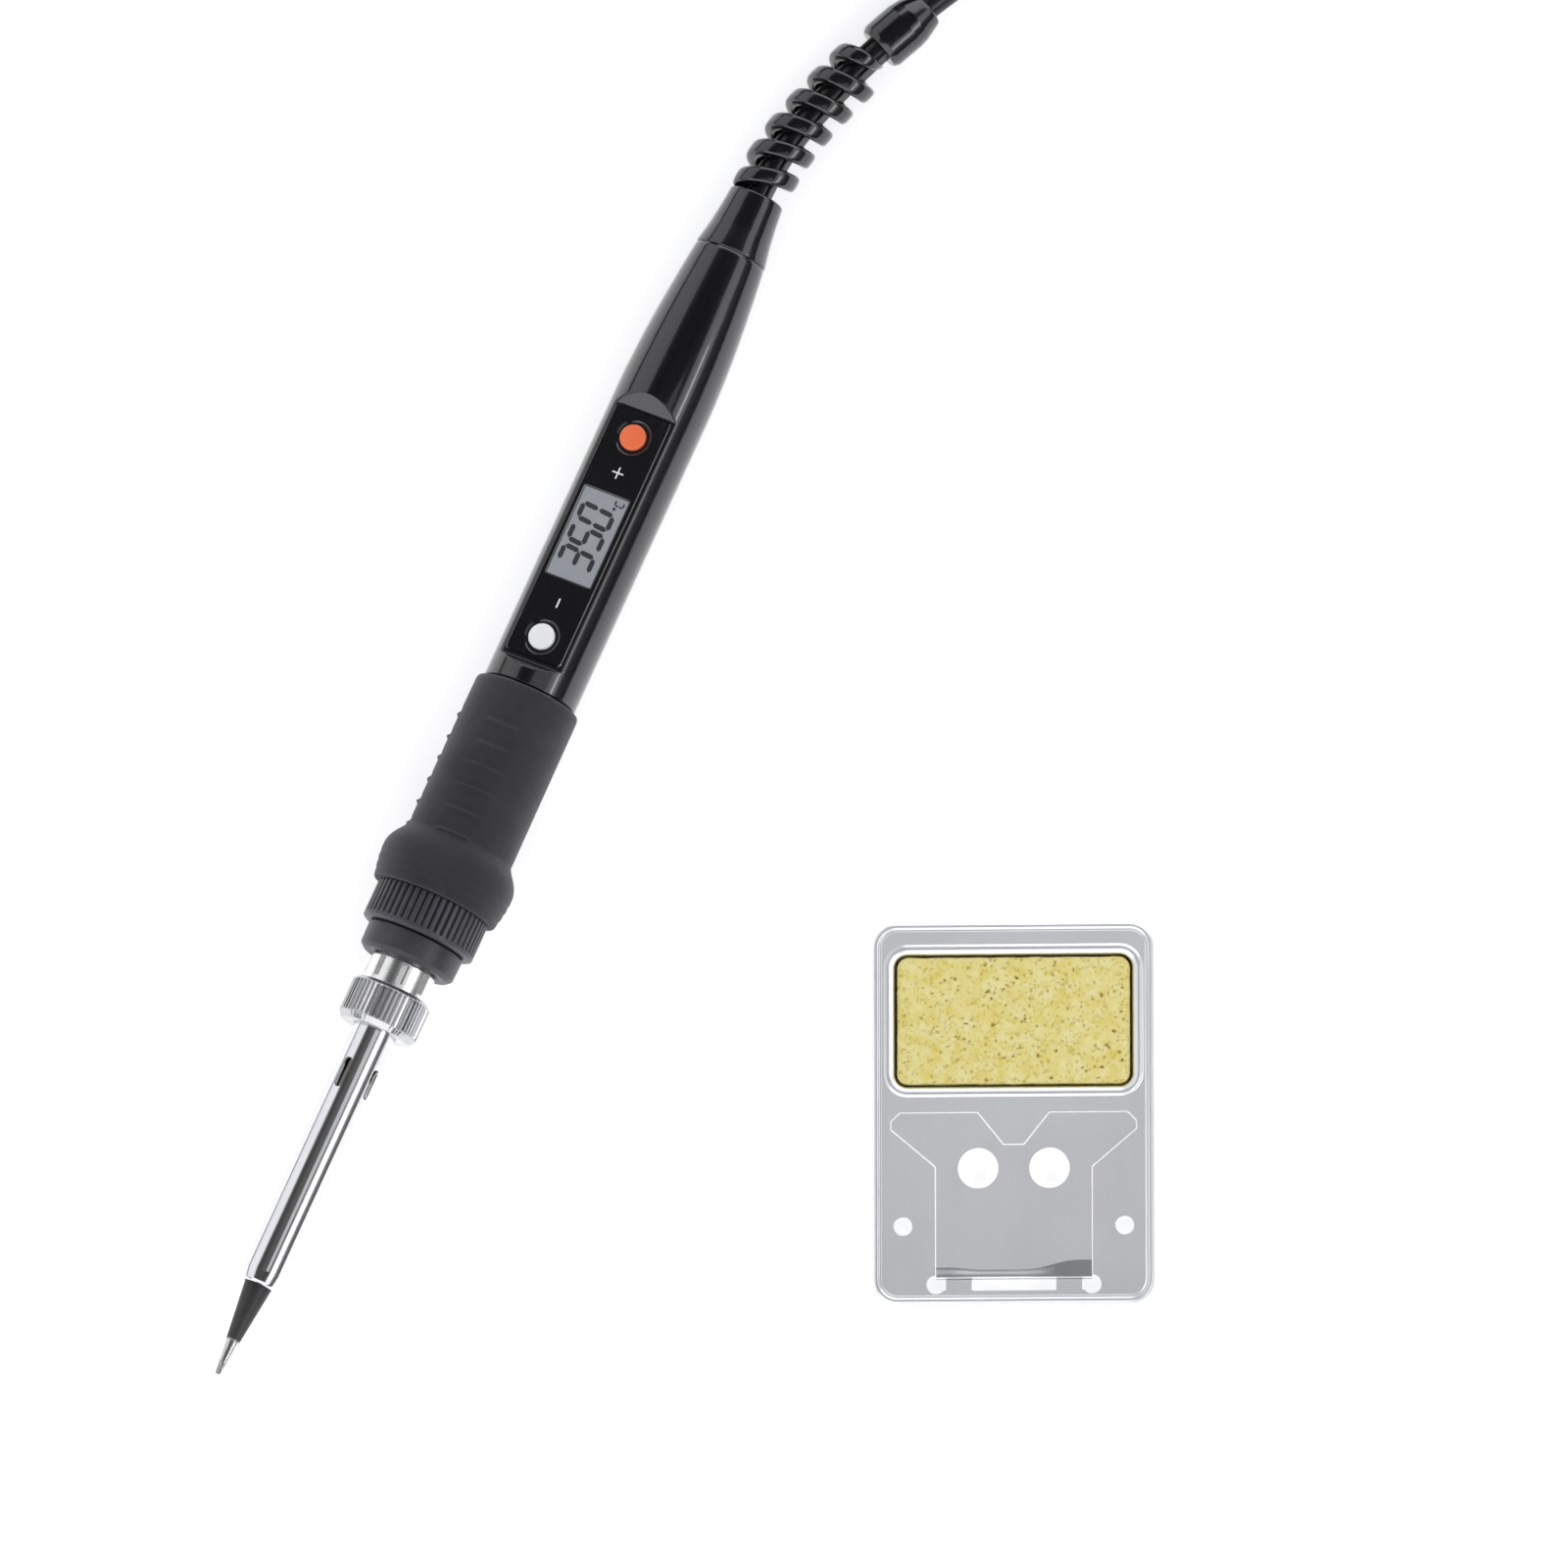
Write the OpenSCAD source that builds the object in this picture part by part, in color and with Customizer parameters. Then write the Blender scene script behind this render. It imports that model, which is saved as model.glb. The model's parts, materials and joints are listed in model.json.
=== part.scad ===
// Soldering iron station: an iron with a display and buttons in its handle, on a mains lead,
// and a small pressed steel stand with a wet sponge and a folding rest.
// Millimetres, +Z up. The origin is on the bench, at the middle of what the iron and the stand cover.
// The iron is modelled along its own axis: z is the distance from the tip, -y faces the display.

/* [Stand] */
// Width of the stand
stand_w = 52.6; // [52:0.2:54]
// Length of the stand
stand_l = 71.8; // [71.4:0.2:73]
// Height of the deck above the bench
stand_h = 4; // [4:0.1:4.6]
// Thickness of the pressed sheet
sheet_t = 0.5; // [0.4:0.05:0.6]
// Radius of the stand's corners
corner_r = 4.8; // [3:0.2:6]
// Width of the sponge well
well_w = 44; // [42:0.2:45]
// Length of the sponge well
well_l = 24.6; // [22:0.2:25]
// Thickness of the sponge
sponge_t = 3.4; // [2.5:0.1:5]
// Diameter of the screw holes in the deck
screw_hole_d = 3.4; // [2.5:0.1:4]

/* [Rest] */
// Width between the tips of the rest's ears
ear_w = 45.2; // [44:0.2:46]
// Width of the rest below its ears
rest_w = 28.8; // [28:0.2:29.6]
// Depth of the vee that holds the iron
vee_depth = 6; // [4:0.2:8]
// Diameter of the two holes in the rest
rest_hole_d = 7.5; // [4:0.1:9]
// Diameter of the rolled edge that the rest turns on
roll_d = 1.6; // [1.4:0.1:1.8]

/* [Iron] */
// Length of bare tip ahead of the barrel
tip_out = 18; // [14:0.5:18]
// Diameter of the barrel
barrel_d = 8.2; // [8:0.1:8.3]
// Diameter of the knurled retaining nut
nut_d = 15.4; // [14.6:0.1:18]
// Diameter of the front collar
collar_d = 18.8; // [17:0.1:20]
// Diameter of the ribbed handle nut
handle_nut_d = 22; // [20:0.1:23]
// Largest diameter of the rubber grip
grip_d = 26.1; // [24:0.1:26.1]
// Diameter of the rubber sleeve behind its bulge
sleeve_d = 20.8; // [19.6:0.1:21]
// Diameter of the handle
handle_d = 18.3; // [18:0.1:18.4]
// Width of the display panel
panel_w = 11.6; // [11:0.1:12]
// Diameter of the plus and minus buttons
button_d = 5; // [4:0.1:5.4]
// Travel of the buttons
button_travel = 0.5; // [0.3:0.05:0.55]
// Turn of the iron about its own axis, away from display upwards
iron_roll = 12.5; // [0:0.5:30]

/* [Lead] */
// Diameter of the mains lead
cord_d = 5; // [4.6:0.1:5.2]
// Diameter of the coil at the middle of its turns
coil_d = 60; // [56:1:61]
// Outside diameter of the spiral strain relief
relief_d = 11.4; // [10.6:0.2:11.8]

/* [Hidden] */
$fn = 48;
gap = 0.1;                       // running clearance between pieces that turn or slide
skin = 0.05;                     // clearance between pieces that only sit together

// Stand, measured from its own middle
stand_at = [60.2, -81.4, 0];
well_y = 17.3;                   // middle of the sponge well
well_floor = 0.7;                // underside of the well above the bench
well_r = 2.4;
bead_w = 2.2;                    // raised bead around the well
bead_h = 0.5;
sponge_gap = 0.35;
sponge_lift = well_floor + sheet_t + 0.02;
screw_x = 20.5;
screw_y = -21.1;
slot_low = -33.1;                // lower edge of the slot that the rest turns in
relief_hole_r = 1.75;
relief_hole_y = -32;
hinge_y = -30.2;
hinge_z = stand_h - roll_d / 2;
cut_gap = 0.35;                  // line cut around the rest
tab_x = 10.2;
tab_w = 4.8;
notch_w = 6;
notch_y = hinge_y + 1.7;
rest_hole_x = 6.6;
rest_hole_y = -10.3;
vee_top = 6.7;
vee_low = 1.95;
ear_low = -3;
waist_y = -10;

// Where the iron lies
tip_at = [-86, -130.9, 17.27];
iron_yaw = 24;
iron_dip = 2.3;

// Distances along the iron, from its tip
point_end = 6.9;
lip_end = 1.3;
shoulder_at = tip_out + 1.35;
tip_end = 44;
bore_at = 25;
slot_at = 60.4;
slot_len = 6;
slot_w = 1.7;
barrel_end = 73.9;
nut_at = 70;
nut_end = 78.4;
flange_end = 83.6;
collar_end = 88.8;
handle_nut_at = 88.9;
handle_nut_end = 96.5;
grip_at = 96.6;
bulge_at = 103;
bulge_end = 107.4;
sleeve_end = 139.3;
panel_at = 145;
panel_end = 195.9;
minus_at = 149.4;
plus_at = 190.7;
screen_at = 161.1;
screen_end = 179.2;
screen_w = 9.4;
taper_at = 200;
boot_at = 226;
body_end = 230.8;
boot_end = 243.2;
heater_r = 1.9;
thread_r = 6.4;
barrel_r = barrel_d / 2;
handle_r = handle_d / 2;
cavity_r = 7.4;
panel_low = 6;                   // height of the ledge under the panel, from the axis
panel_top = 6.85;
button_top = 7.5;
button_low = 5.3;
button_flange = 3.1;
board_top = 2.6;
board_t = 1.2;
board_w = 10.4;
board_at = 141;
board_end = 203;

// Strain relief: two arcs, which bend the lead to the right
bend_r1 = 60;
bend_r2 = 170;
bend_len1 = 18;
relief_len = 49;
relief_core_r = 3.1;
relief_end = 12.4;
relief_end_r = 4.9;
strand_r = 1.7;
ring_pitch = 5.8;
ring_first = 3.5;
ring_count = 6;

// Lead, coil and plug on the bench
coil_at = [52, 178];
coil_low = 0.2;
coil_high = 14.6;
coil_half = 7.8;                 // half the width of the bundle of turns
cord_route = [
    [44.2, 127.2, 5.7], [48.1, 130.3, 5.3], [52, 133.4, 4.6], [56, 136.5, 3.8], [59.9, 139.6, 3.1],
    [63.8, 142.7, 2.8], [68.7, 146.6, 2.7], [73.7, 150.6, 2.7], [78, 154.6, 2.7], [81.7, 159.5, 2.7],
];
plug_route = [
    [61.7, 206.5, 11.4], [52, 208, 11.4], [42, 208.4, 12.1], [36, 208.3, 11.7], [30, 208.2, 9.9],
    [22, 208, 8.2], [14, 207.8, 7.2], [6, 207.8, 6.85],
];
plug_at = [6, 207.8, 6.85];
tie_w = 5;
tie_t = 0.8;
plug_t = 13.7;
plug_len = 36;
plug_w = 35.3;
pin_d = 4;
pin_len = 19;
pin_gap = 18.6;

body_black = [0.03, 0.03, 0.035];
rubber_grey = [0.14, 0.14, 0.15];
steel = [0.8, 0.81, 0.82];
silver = [0.72, 0.73, 0.74];

// ---------- Shared shapes

module round_box(w, l, h, r) {
    translate([-w / 2 + r, -l / 2, 0]) cube([w - 2 * r, l, h]);
    translate([-w / 2, -l / 2 + r, 0]) cube([w, l - 2 * r, h]);
    for (x = [-1, 1], y = [-1, 1])
        translate([x * (w / 2 - r), y * (l / 2 - r), 0]) cylinder(h = h, r = r);
}

module ring(z0, z1, r_out, r_in) {
    translate([0, 0, z0])
        difference() {
            cylinder(h = z1 - z0, r = r_out);
            translate([0, 0, -1]) cylinder(h = z1 - z0 + 2, r = r_in);
        }
}

// Puts a shape drawn along the iron's axis where the iron lies
module on_iron() {
    translate(tip_at)
        rotate([-90 - iron_dip, 0, -iron_yaw])
            rotate([0, 0, -iron_roll])
                children();
}

// The same without the iron's roll, so x lies level and to the right
module behind_iron() {
    translate(tip_at)
        rotate([-90 - iron_dip, 0, -iron_yaw])
            children();
}

// A round bar square to the display, between two distances from the iron's axis
module bar_up(z, low, high, r) {
    translate([0, -low, z]) rotate([90, 0, 0]) cylinder(h = high - low, r = r);
}

module box_up(w, z0, z1, low, high) {
    translate([-w / 2, -high, z0]) cube([w, high - low, z1 - z0]);
}

// Points of an arc in the outline of a turned piece, [radius, distance]
function arc_points(r, z, rad_r, rad_z, a0, a1, n) =
    [for (i = [0:n]) let (a = a0 + (a1 - a0) * i / n) [r + rad_r * cos(a), z + rad_z * sin(a)]];

// ---------- Tube swept along a route

function unit(v) = v / norm(v);
function tangent(p, i) = unit(p[min(i + 1, len(p) - 1)] - p[max(i - 1, 0)]);
function tube_ring(p, i, r, n, up) =
    let (t = tangent(p, i), u = unit(cross(t, up)), v = cross(u, t))
    [for (k = [0:n - 1]) p[i] + r * cos(360 * k / n) * u + r * sin(360 * k / n) * v];

// p is the route, radii has one radius for each point, and up is never along the route
module tube(p, radii, n, up) {
    last = len(p) - 1;
    points = [for (i = [0:last], q = tube_ring(p, i, radii[i], n, up)) q];
    walls = [for (i = [0:last - 1], k = [0:n - 1]) [
        i * n + k, i * n + (k + 1) % n, (i + 1) * n + (k + 1) % n, (i + 1) * n + k]];
    caps = [[for (k = [0:n - 1]) n - 1 - k], [for (k = [0:n - 1]) last * n + k]];
    polyhedron(points = points, faces = concat(walls, caps));
}

module cord_tube(p) {
    tube(p, [for (q = p) cord_d / 2], 10, [0, 0, 1]);
}

// ---------- Stand

rest_outline = [
    [-ear_w / 2 + 1.6, 0], [-vee_top, 0], [-vee_low, -vee_depth], [vee_low, -vee_depth], [vee_top, 0],
    [ear_w / 2 - 1.6, 0], [ear_w / 2, -1.6], [ear_w / 2, ear_low], [rest_w / 2, waist_y],
    [rest_w / 2, hinge_y], [-rest_w / 2, hinge_y], [-rest_w / 2, waist_y], [-ear_w / 2, ear_low],
    [-ear_w / 2, -1.6],
];
rest_opening = [
    [-ear_w / 2 + 1.5, cut_gap], [-vee_top + 0.2, cut_gap], [-vee_low + 0.2, -vee_depth + cut_gap],
    [vee_low - 0.2, -vee_depth + cut_gap], [vee_top - 0.2, cut_gap], [ear_w / 2 - 1.5, cut_gap],
    [ear_w / 2 + cut_gap, -1.5], [ear_w / 2 + cut_gap, ear_low - 0.2],
    [rest_w / 2 + cut_gap, waist_y - 0.2], [rest_w / 2 + cut_gap, slot_low],
    [-rest_w / 2 - cut_gap, slot_low], [-rest_w / 2 - cut_gap, waist_y - 0.2],
    [-ear_w / 2 - cut_gap, ear_low - 0.2], [-ear_w / 2 - cut_gap, -1.5],
];

module base_plate() {
    color(steel) translate(stand_at) {
        difference() {
            round_box(stand_w, stand_l, stand_h, corner_r);
            translate([0, 0, -1])
                round_box(stand_w - 2 * sheet_t, stand_l - 2 * sheet_t,
                    stand_h - sheet_t + 1, corner_r - sheet_t);
            translate([0, well_y, 0]) round_box(well_w, well_l, stand_h + 1, well_r);
            translate([0, 0, 1]) linear_extrude(stand_h) polygon(rest_opening);
            for (x = [-1, 1]) {
                translate([x * screw_x, screw_y, 1]) cylinder(h = stand_h, d = screw_hole_d);
                translate([x * rest_w / 2, relief_hole_y, 1]) cylinder(h = stand_h, r = relief_hole_r);
            }
        }
        sponge_well();
        for (x = [-1, 1])
            translate([x * tab_x, 0, 0]) hinge_tab();
    }
}

module sponge_well() {
    translate([0, well_y, 0]) {
        difference() {
            translate([0, 0, well_floor])
                round_box(well_w + 2 * sheet_t, well_l + 2 * sheet_t,
                    stand_h - well_floor, well_r + sheet_t);
            translate([0, 0, well_floor + sheet_t]) round_box(well_w, well_l, stand_h, well_r);
        }
        difference() {
            translate([0, 0, stand_h - 0.01])
                round_box(well_w + 2 * bead_w, well_l + 2 * bead_w, bead_h, well_r + bead_w);
            round_box(well_w, well_l, stand_h + 2, well_r);
        }
    }
}

// A tab of the deck that hooks under the rest's rolled edge
module hinge_tab() {
    hook_in = roll_d / 2 + 0.06;
    hook_out = hook_in + sheet_t;
    translate([-tab_w / 2, slot_low - 0.2, stand_h - sheet_t])
        cube([tab_w, hinge_y - hook_in + 0.2 - slot_low, sheet_t]);
    translate([-tab_w / 2, hinge_y - hook_out, hinge_z])
        cube([tab_w, sheet_t, stand_h - hinge_z]);
    translate([-tab_w / 2, hinge_y, hinge_z])
        rotate([90, 0, 90])
            difference() {
                cylinder(h = tab_w, r = hook_out);
                translate([0, 0, -1]) cylinder(h = tab_w + 2, r = hook_in);
                translate([-5, 0, -1]) cube([10, 5, tab_w + 2]);
            }
}

module rest_flap() {
    color(silver) translate(stand_at) {
        difference() {
            translate([0, 0, stand_h - sheet_t]) linear_extrude(sheet_t) polygon(rest_outline);
            for (x = [-1, 1]) {
                translate([x * rest_hole_x, rest_hole_y, 0]) cylinder(h = stand_h + 1, d = rest_hole_d);
                translate([x * tab_x - notch_w / 2, hinge_y - 1, 0])
                    cube([notch_w, notch_y - hinge_y + 1, stand_h + 1]);
            }
        }
        translate([-rest_w / 2, hinge_y, hinge_z]) rotate([0, 90, 0]) cylinder(h = rest_w, d = roll_d);
    }
}

module sponge() {
    color([0.93, 0.76, 0.26])
        translate(stand_at + [0, well_y, sponge_lift])
            round_box(well_w - 2 * sponge_gap, well_l - 2 * sponge_gap, sponge_t, well_r - sponge_gap);
}

// ---------- Hot end

module soldering_tip() {
    color([0.3, 0.3, 0.31])
        on_iron()
            rotate_extrude()
                polygon([
                    [0, 0], [0.45, 0], [1.15, point_end], [2.65, tip_out], [2.65, shoulder_at],
                    [3.3, shoulder_at], [3.3, tip_end], [2.05, tip_end], [2.05, bore_at],
                    [0, bore_at - 1.2],
                ]);
}

module barrel_tube() {
    color(steel)
        on_iron()
            difference() {
                rotate_extrude()
                    polygon([
                        [2.8, tip_out + 0.3], [3.2, tip_out], [3.7, tip_out + 0.4],
                        [barrel_r - 0.1, tip_out + 1.3], [barrel_r, tip_out + 2.4],
                        [barrel_r, barrel_end - 0.8], [5.9, barrel_end - 0.8], [5.9, barrel_end],
                        [barrel_r - 0.5, barrel_end], [barrel_r - 0.5, tip_out + lip_end],
                        [2.8, tip_out + lip_end],
                    ]);
                for (a = [78, 168])
                    translate([0, 0, slot_at]) rotate([0, 0, a]) vent_slots();
            }
}

module vent_slots() {
    half = slot_len / 2 - slot_w / 2;
    translate([-10, -slot_w / 2, -half]) cube([20, slot_w, 2 * half]);
    for (z = [-1, 1])
        translate([-10, 0, z * half]) rotate([0, 90, 0]) cylinder(h = 20, d = slot_w);
}

module retaining_nut() {
    color(steel)
        on_iron()
            rotate_extrude()
                polygon([
                    [barrel_r + gap, nut_at], [nut_d / 2 - 1.4, nut_at], [nut_d / 2, nut_at + 1.6],
                    [nut_d / 2, nut_end - 0.8], [nut_d / 2 - 0.8, nut_end], [thread_r + gap, nut_end],
                    [thread_r + gap, barrel_end - 1], [barrel_r + gap, barrel_end - 1],
                ]);
}

module threaded_nipple() {
    bore = 4.5;
    color(silver)
        on_iron()
            difference() {
                union() {
                    ring(barrel_end + 0.2, nut_end + gap, thread_r, bore);
                    ring(nut_end + gap, flange_end - skin, 6.3, bore);
                    ring(flange_end - skin, flange_end + 3, 5.5, bore);
                }
                for (a = [0:45:315])
                    rotate([0, 0, a + 10])
                        translate([5.2, -0.6, nut_end + 0.9]) cube([3, 1.2, flange_end - nut_end - 1.7]);
            }
}

module heater_element() {
    color([0.92, 0.9, 0.85])
        on_iron() translate([0, 0, bore_at + 1]) cylinder(h = 78, r = heater_r);
}

module heater_holder() {
    color([0.85, 0.83, 0.78])
        on_iron() ring(78, 100, 4.4, heater_r + skin);
}

// ---------- Handle

module front_collar() {
    color(body_black)
        on_iron()
            difference() {
                union() {
                    translate([0, 0, flange_end])
                        cylinder(h = 0.8, r1 = collar_d / 2 - 0.6, r2 = collar_d / 2);
                    ring(flange_end + 0.8, collar_end, collar_d / 2, 4.5);
                    ring(collar_end, 99, 5.9, 4.5);
                }
                translate([0, 0, flange_end - 1]) cylinder(h = 20, r = 4.5);
                translate([0, 0, flange_end - 1]) cylinder(h = 4, r = 5.55);
            }
}

module handle_nut() {
    color(body_black)
        on_iron() {
            rotate_extrude()
                polygon([
                    [5.9 + gap, handle_nut_at], [handle_nut_d / 2 - 0.5, handle_nut_at],
                    [handle_nut_d / 2, handle_nut_at + 0.5], [handle_nut_d / 2, handle_nut_end],
                    [8 + gap, handle_nut_end], [8 + gap, handle_nut_at + 1.2],
                    [5.9 + gap, handle_nut_at + 1.2],
                ]);
        }
}

module rubber_grip() {
    inner = handle_r - 0.25;
    color(rubber_grey)
        on_iron()
            rotate_extrude()
                polygon(concat(
                    [[inner, grip_at], [12.3, grip_at]],
                    arc_points(grip_d / 2 - 2, bulge_at - 0.6, 2, 4.6, -60, 60, 12),
                    [[11.2, bulge_end - 0.4], [10.6, bulge_end + 0.2], [sleeve_d / 2, bulge_end + 2]],
                    arc_points(sleeve_d / 2 - 0.9, sleeve_end - 1, 0.9, 1, 0, 90, 4),
                    [[inner, sleeve_end]]
                ));
}

module handle_body() {
    color(body_black)
        on_iron()
            difference() {
                rotate_extrude() polygon(concat(handle_outside(), handle_inside()));
                rotate([90, 0, 90])
                    translate([0, 0, -15])
                        linear_extrude(30)
                            polygon([
                                [-panel_low, panel_at - 0.2], [-12, panel_at - 0.2],
                                [-12, panel_end + 6.5], [-panel_low, panel_end + 0.2],
                            ]);
            }
}

function handle_outside() = [
    [8, handle_nut_at + 1.3], [8, grip_at + 0.1], [handle_r - 0.25, grip_at + 0.1],
    [handle_r - 0.25, sleeve_end + 0.2], [handle_r, sleeve_end + 0.6], [handle_r, taper_at],
    [8.95, 204], [8.75, 209], [8.45, 215], [8, 221], [7.5, 226.5], [7.05, body_end],
];
function handle_inside() = [
    [5.5, body_end], [5.5, 224], [6.4, 216], [cavity_r - 0.4, 208], [cavity_r, 201], [cavity_r, 99.5],
    [6, 99.5], [6, handle_nut_at + 1.3],
];

module display_panel() {
    color([0.06, 0.06, 0.065])
        on_iron()
            difference() {
                box_up(panel_w, panel_at, panel_end, panel_low, panel_top);
                box_up(screen_w, screen_at, screen_end, panel_low - 1, panel_top + 1);
                for (z = [minus_at, plus_at]) {
                    bar_up(z, panel_low - 1, panel_top + 1, button_d / 2 + gap);
                    bar_up(z, panel_top - 0.25, panel_top + 1, 4);
                }
            }
}

module lcd_module() {
    color([0.5, 0.52, 0.5])
        on_iron() {
            box_up(screen_w - 0.1, screen_at + skin, screen_end - skin, panel_low + skin, 6.7);
            box_up(8.4, screen_at + skin, screen_end - skin, 5.8, 6.2);
            box_up(8.4, screen_at - 1.8, screen_end + 1.8, 3.9, 5.9);
            for (x = [-1, 1])
                translate([x * 3.6, 0, 0]) box_up(0.6, screen_at, screen_end, board_top, 3.9);
        }
}

module button(z) {
    on_iron() {
        bar_up(z, button_low, button_top - 0.3, button_d / 2);
        translate([0, -button_top + 0.3, z])
            rotate([90, 0, 0])
                cylinder(h = 0.3, r1 = button_d / 2, r2 = button_d / 2 - 0.3);
        bar_up(z, button_low, panel_low - gap, button_flange);
    }
}

module plus_button() {
    color([0.87, 0.35, 0.16]) button(plus_at);
}

module minus_button() {
    color([0.9, 0.9, 0.9]) button(minus_at);
}

// ---------- Electronics

module circuit_board() {
    color([0.05, 0.35, 0.18])
        on_iron()
            difference() {
                box_up(board_w, board_at, board_end, board_top - board_t, board_top);
                for (x = [-1, 1], z = [board_at + 3, board_end - 3])
                    translate([x * 3.6, 0, 0]) bar_up(z, 0, 4, 0.6);
            }
}

module tact_switches() {
    color([0.15, 0.15, 0.16])
        on_iron()
            for (z = [minus_at, plus_at]) {
                box_up(4.5, z - 2.25, z + 2.25, board_top, 4.1);
                bar_up(z, 4.1, button_low - button_travel - gap, 0.9);
            }
}

module board_parts() {
    color([0.2, 0.2, 0.22])
        on_iron() {
            box_up(4, 168, 177, board_top, 3.4);
            box_up(5, 184, 195, -2.4, board_top - board_t);
            for (z = [150, 162])
                translate([0, 1.25, z]) cylinder(h = 9, r = 2.6);
            for (z = [174, 178])
                translate([-3, -0.4, z]) rotate([0, 90, 0]) cylinder(h = 6, r = 0.95);
        }
}

module lead_wires() {
    color([0.75, 0.12, 0.1])
        on_iron() {
            for (x = [-1, 1], y = [-0.6, 0.9])
                translate([1.15 * x, y, bore_at + 79])
                    cylinder(h = board_at - bore_at - 79.1, r = 0.45, $fn = 16);
            for (x = [-1.8, 0, 1.8])
                translate([x, -2, board_end]) cylinder(h = boot_at - board_end, r = 0.6, $fn = 16);
        }
}

// ---------- Tail

module tail_boot() {
    color(body_black)
        behind_iron()
            rotate_extrude()
                polygon([
                    [0, boot_at], [5.4, boot_at], [5.4, body_end + skin], [7, body_end + skin],
                    [6.6, 232.6], [6.1, 235.2], [5.75, 238], [5.5, 241], [5.3, boot_end], [0, boot_end],
                ]);
}

// Where the relief's middle line is, at a length from the boot
function relief_point(l) =
    let (
        a = min(l, bend_len1) / bend_r1 * 180 / PI,
        b = a + max(l - bend_len1, 0) / bend_r2 * 180 / PI
    )
    [
        bend_r1 * (1 - cos(a)) + bend_r2 * (cos(a) - cos(b)), 0,
        boot_end + bend_r1 * sin(a) + bend_r2 * (sin(b) - sin(a)),
    ];

function off_ring(l) =
    min([for (i = [0:ring_count - 1]) abs(l - ring_first - i * ring_pitch)]);

function relief_radius(l) =
    let (d = off_ring(l), ring_r = relief_d / 2 - strand_r)
    l > relief_len - relief_end ? min(relief_end_r, relief_core_r + 0.3 + 0.4 * (relief_len - l))
    : d < strand_r ? max(relief_core_r, ring_r + sqrt(strand_r * strand_r - d * d))
    : relief_core_r;

module strain_relief() {
    step = ring_pitch / 8;
    lengths = [for (l = [0:step:relief_len]) l];
    color(body_black)
        behind_iron()
            tube([for (l = lengths) relief_point(l)], [for (l = lengths) relief_radius(l)], 16, [0, 1, 0]);
}

// ---------- Mains lead

module power_cord() {
    color(body_black) cord_tube(cord_route);
}

module plug_lead() {
    color(body_black) cord_tube(plug_route);
}

module cord_coil() {
    mid = (coil_low + coil_high) / 2;
    tall = (coil_high - coil_low) / 2;
    corner = 4;
    color(body_black)
        translate([coil_at[0], coil_at[1], mid])
            rotate_extrude()
                translate([coil_d / 2, 0])
                    polygon(concat(
                        arc_points(coil_half - corner, tall - corner, corner, corner, 0, 90, 4),
                        arc_points(corner - coil_half, tall - corner, corner, corner, 90, 180, 4),
                        arc_points(corner - coil_half, corner - tall, corner, corner, 180, 270, 4),
                        arc_points(coil_half - corner, corner - tall, corner, corner, 270, 360, 4)
                    ));
}

module cord_tie() {
    color([0.1, 0.1, 0.1])
        translate([coil_at[0] - coil_d / 2, coil_at[1], 0])
            difference() {
                translate([-coil_half - tie_t, -tie_w / 2, 0.05])
                    cube([2 * (coil_half + tie_t), tie_w, coil_high + tie_t]);
                translate([-coil_half, -tie_w, 0.05 + tie_t / 2])
                    cube([2 * coil_half, 2 * tie_w, coil_high - tie_t / 2]);
            }
}

module plug_relief() {
    color(body_black)
        translate(plug_at) rotate([0, -90, 0]) cylinder(h = 14, r1 = 3.4, r2 = 5.6);
}

module plug_body() {
    color(body_black)
        translate([plug_at[0] - 14, plug_at[1], plug_at[2] - plug_t / 2])
            linear_extrude(plug_t)
                polygon([
                    [0, 6.5], [-6, 9.6], [-12, 12.6], [-16, plug_w / 2 - 1], [-plug_len, plug_w / 2],
                    [-plug_len, -plug_w / 2], [-16, 1 - plug_w / 2], [-12, -12.6], [-6, -9.6], [0, -6.5],
                ]);
}

module plug_pins() {
    color([0.8, 0.72, 0.45])
        for (y = [-1, 1])
            translate([plug_at[0] - 14 - plug_len, plug_at[1] + y * pin_gap / 2, plug_at[2]])
                rotate([0, -90, 0]) {
                    cylinder(h = pin_len - 1.5, d = pin_d);
                    translate([0, 0, pin_len - 1.5]) cylinder(h = 1.5, d1 = pin_d, d2 = pin_d - 1.2);
                }
}

base_plate();
rest_flap();
sponge();
soldering_tip();
barrel_tube();
retaining_nut();
threaded_nipple();
heater_element();
heater_holder();
front_collar();
handle_nut();
rubber_grip();
handle_body();
display_panel();
lcd_module();
plus_button();
minus_button();
circuit_board();
tact_switches();
board_parts();
lead_wires();
tail_boot();
strain_relief();
power_cord();
cord_coil();
cord_tie();
plug_lead();
plug_relief();
plug_body();
plug_pins();
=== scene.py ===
import json
import math
import bmesh
import bpy
from mathutils import Matrix, Vector, noise


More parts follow.
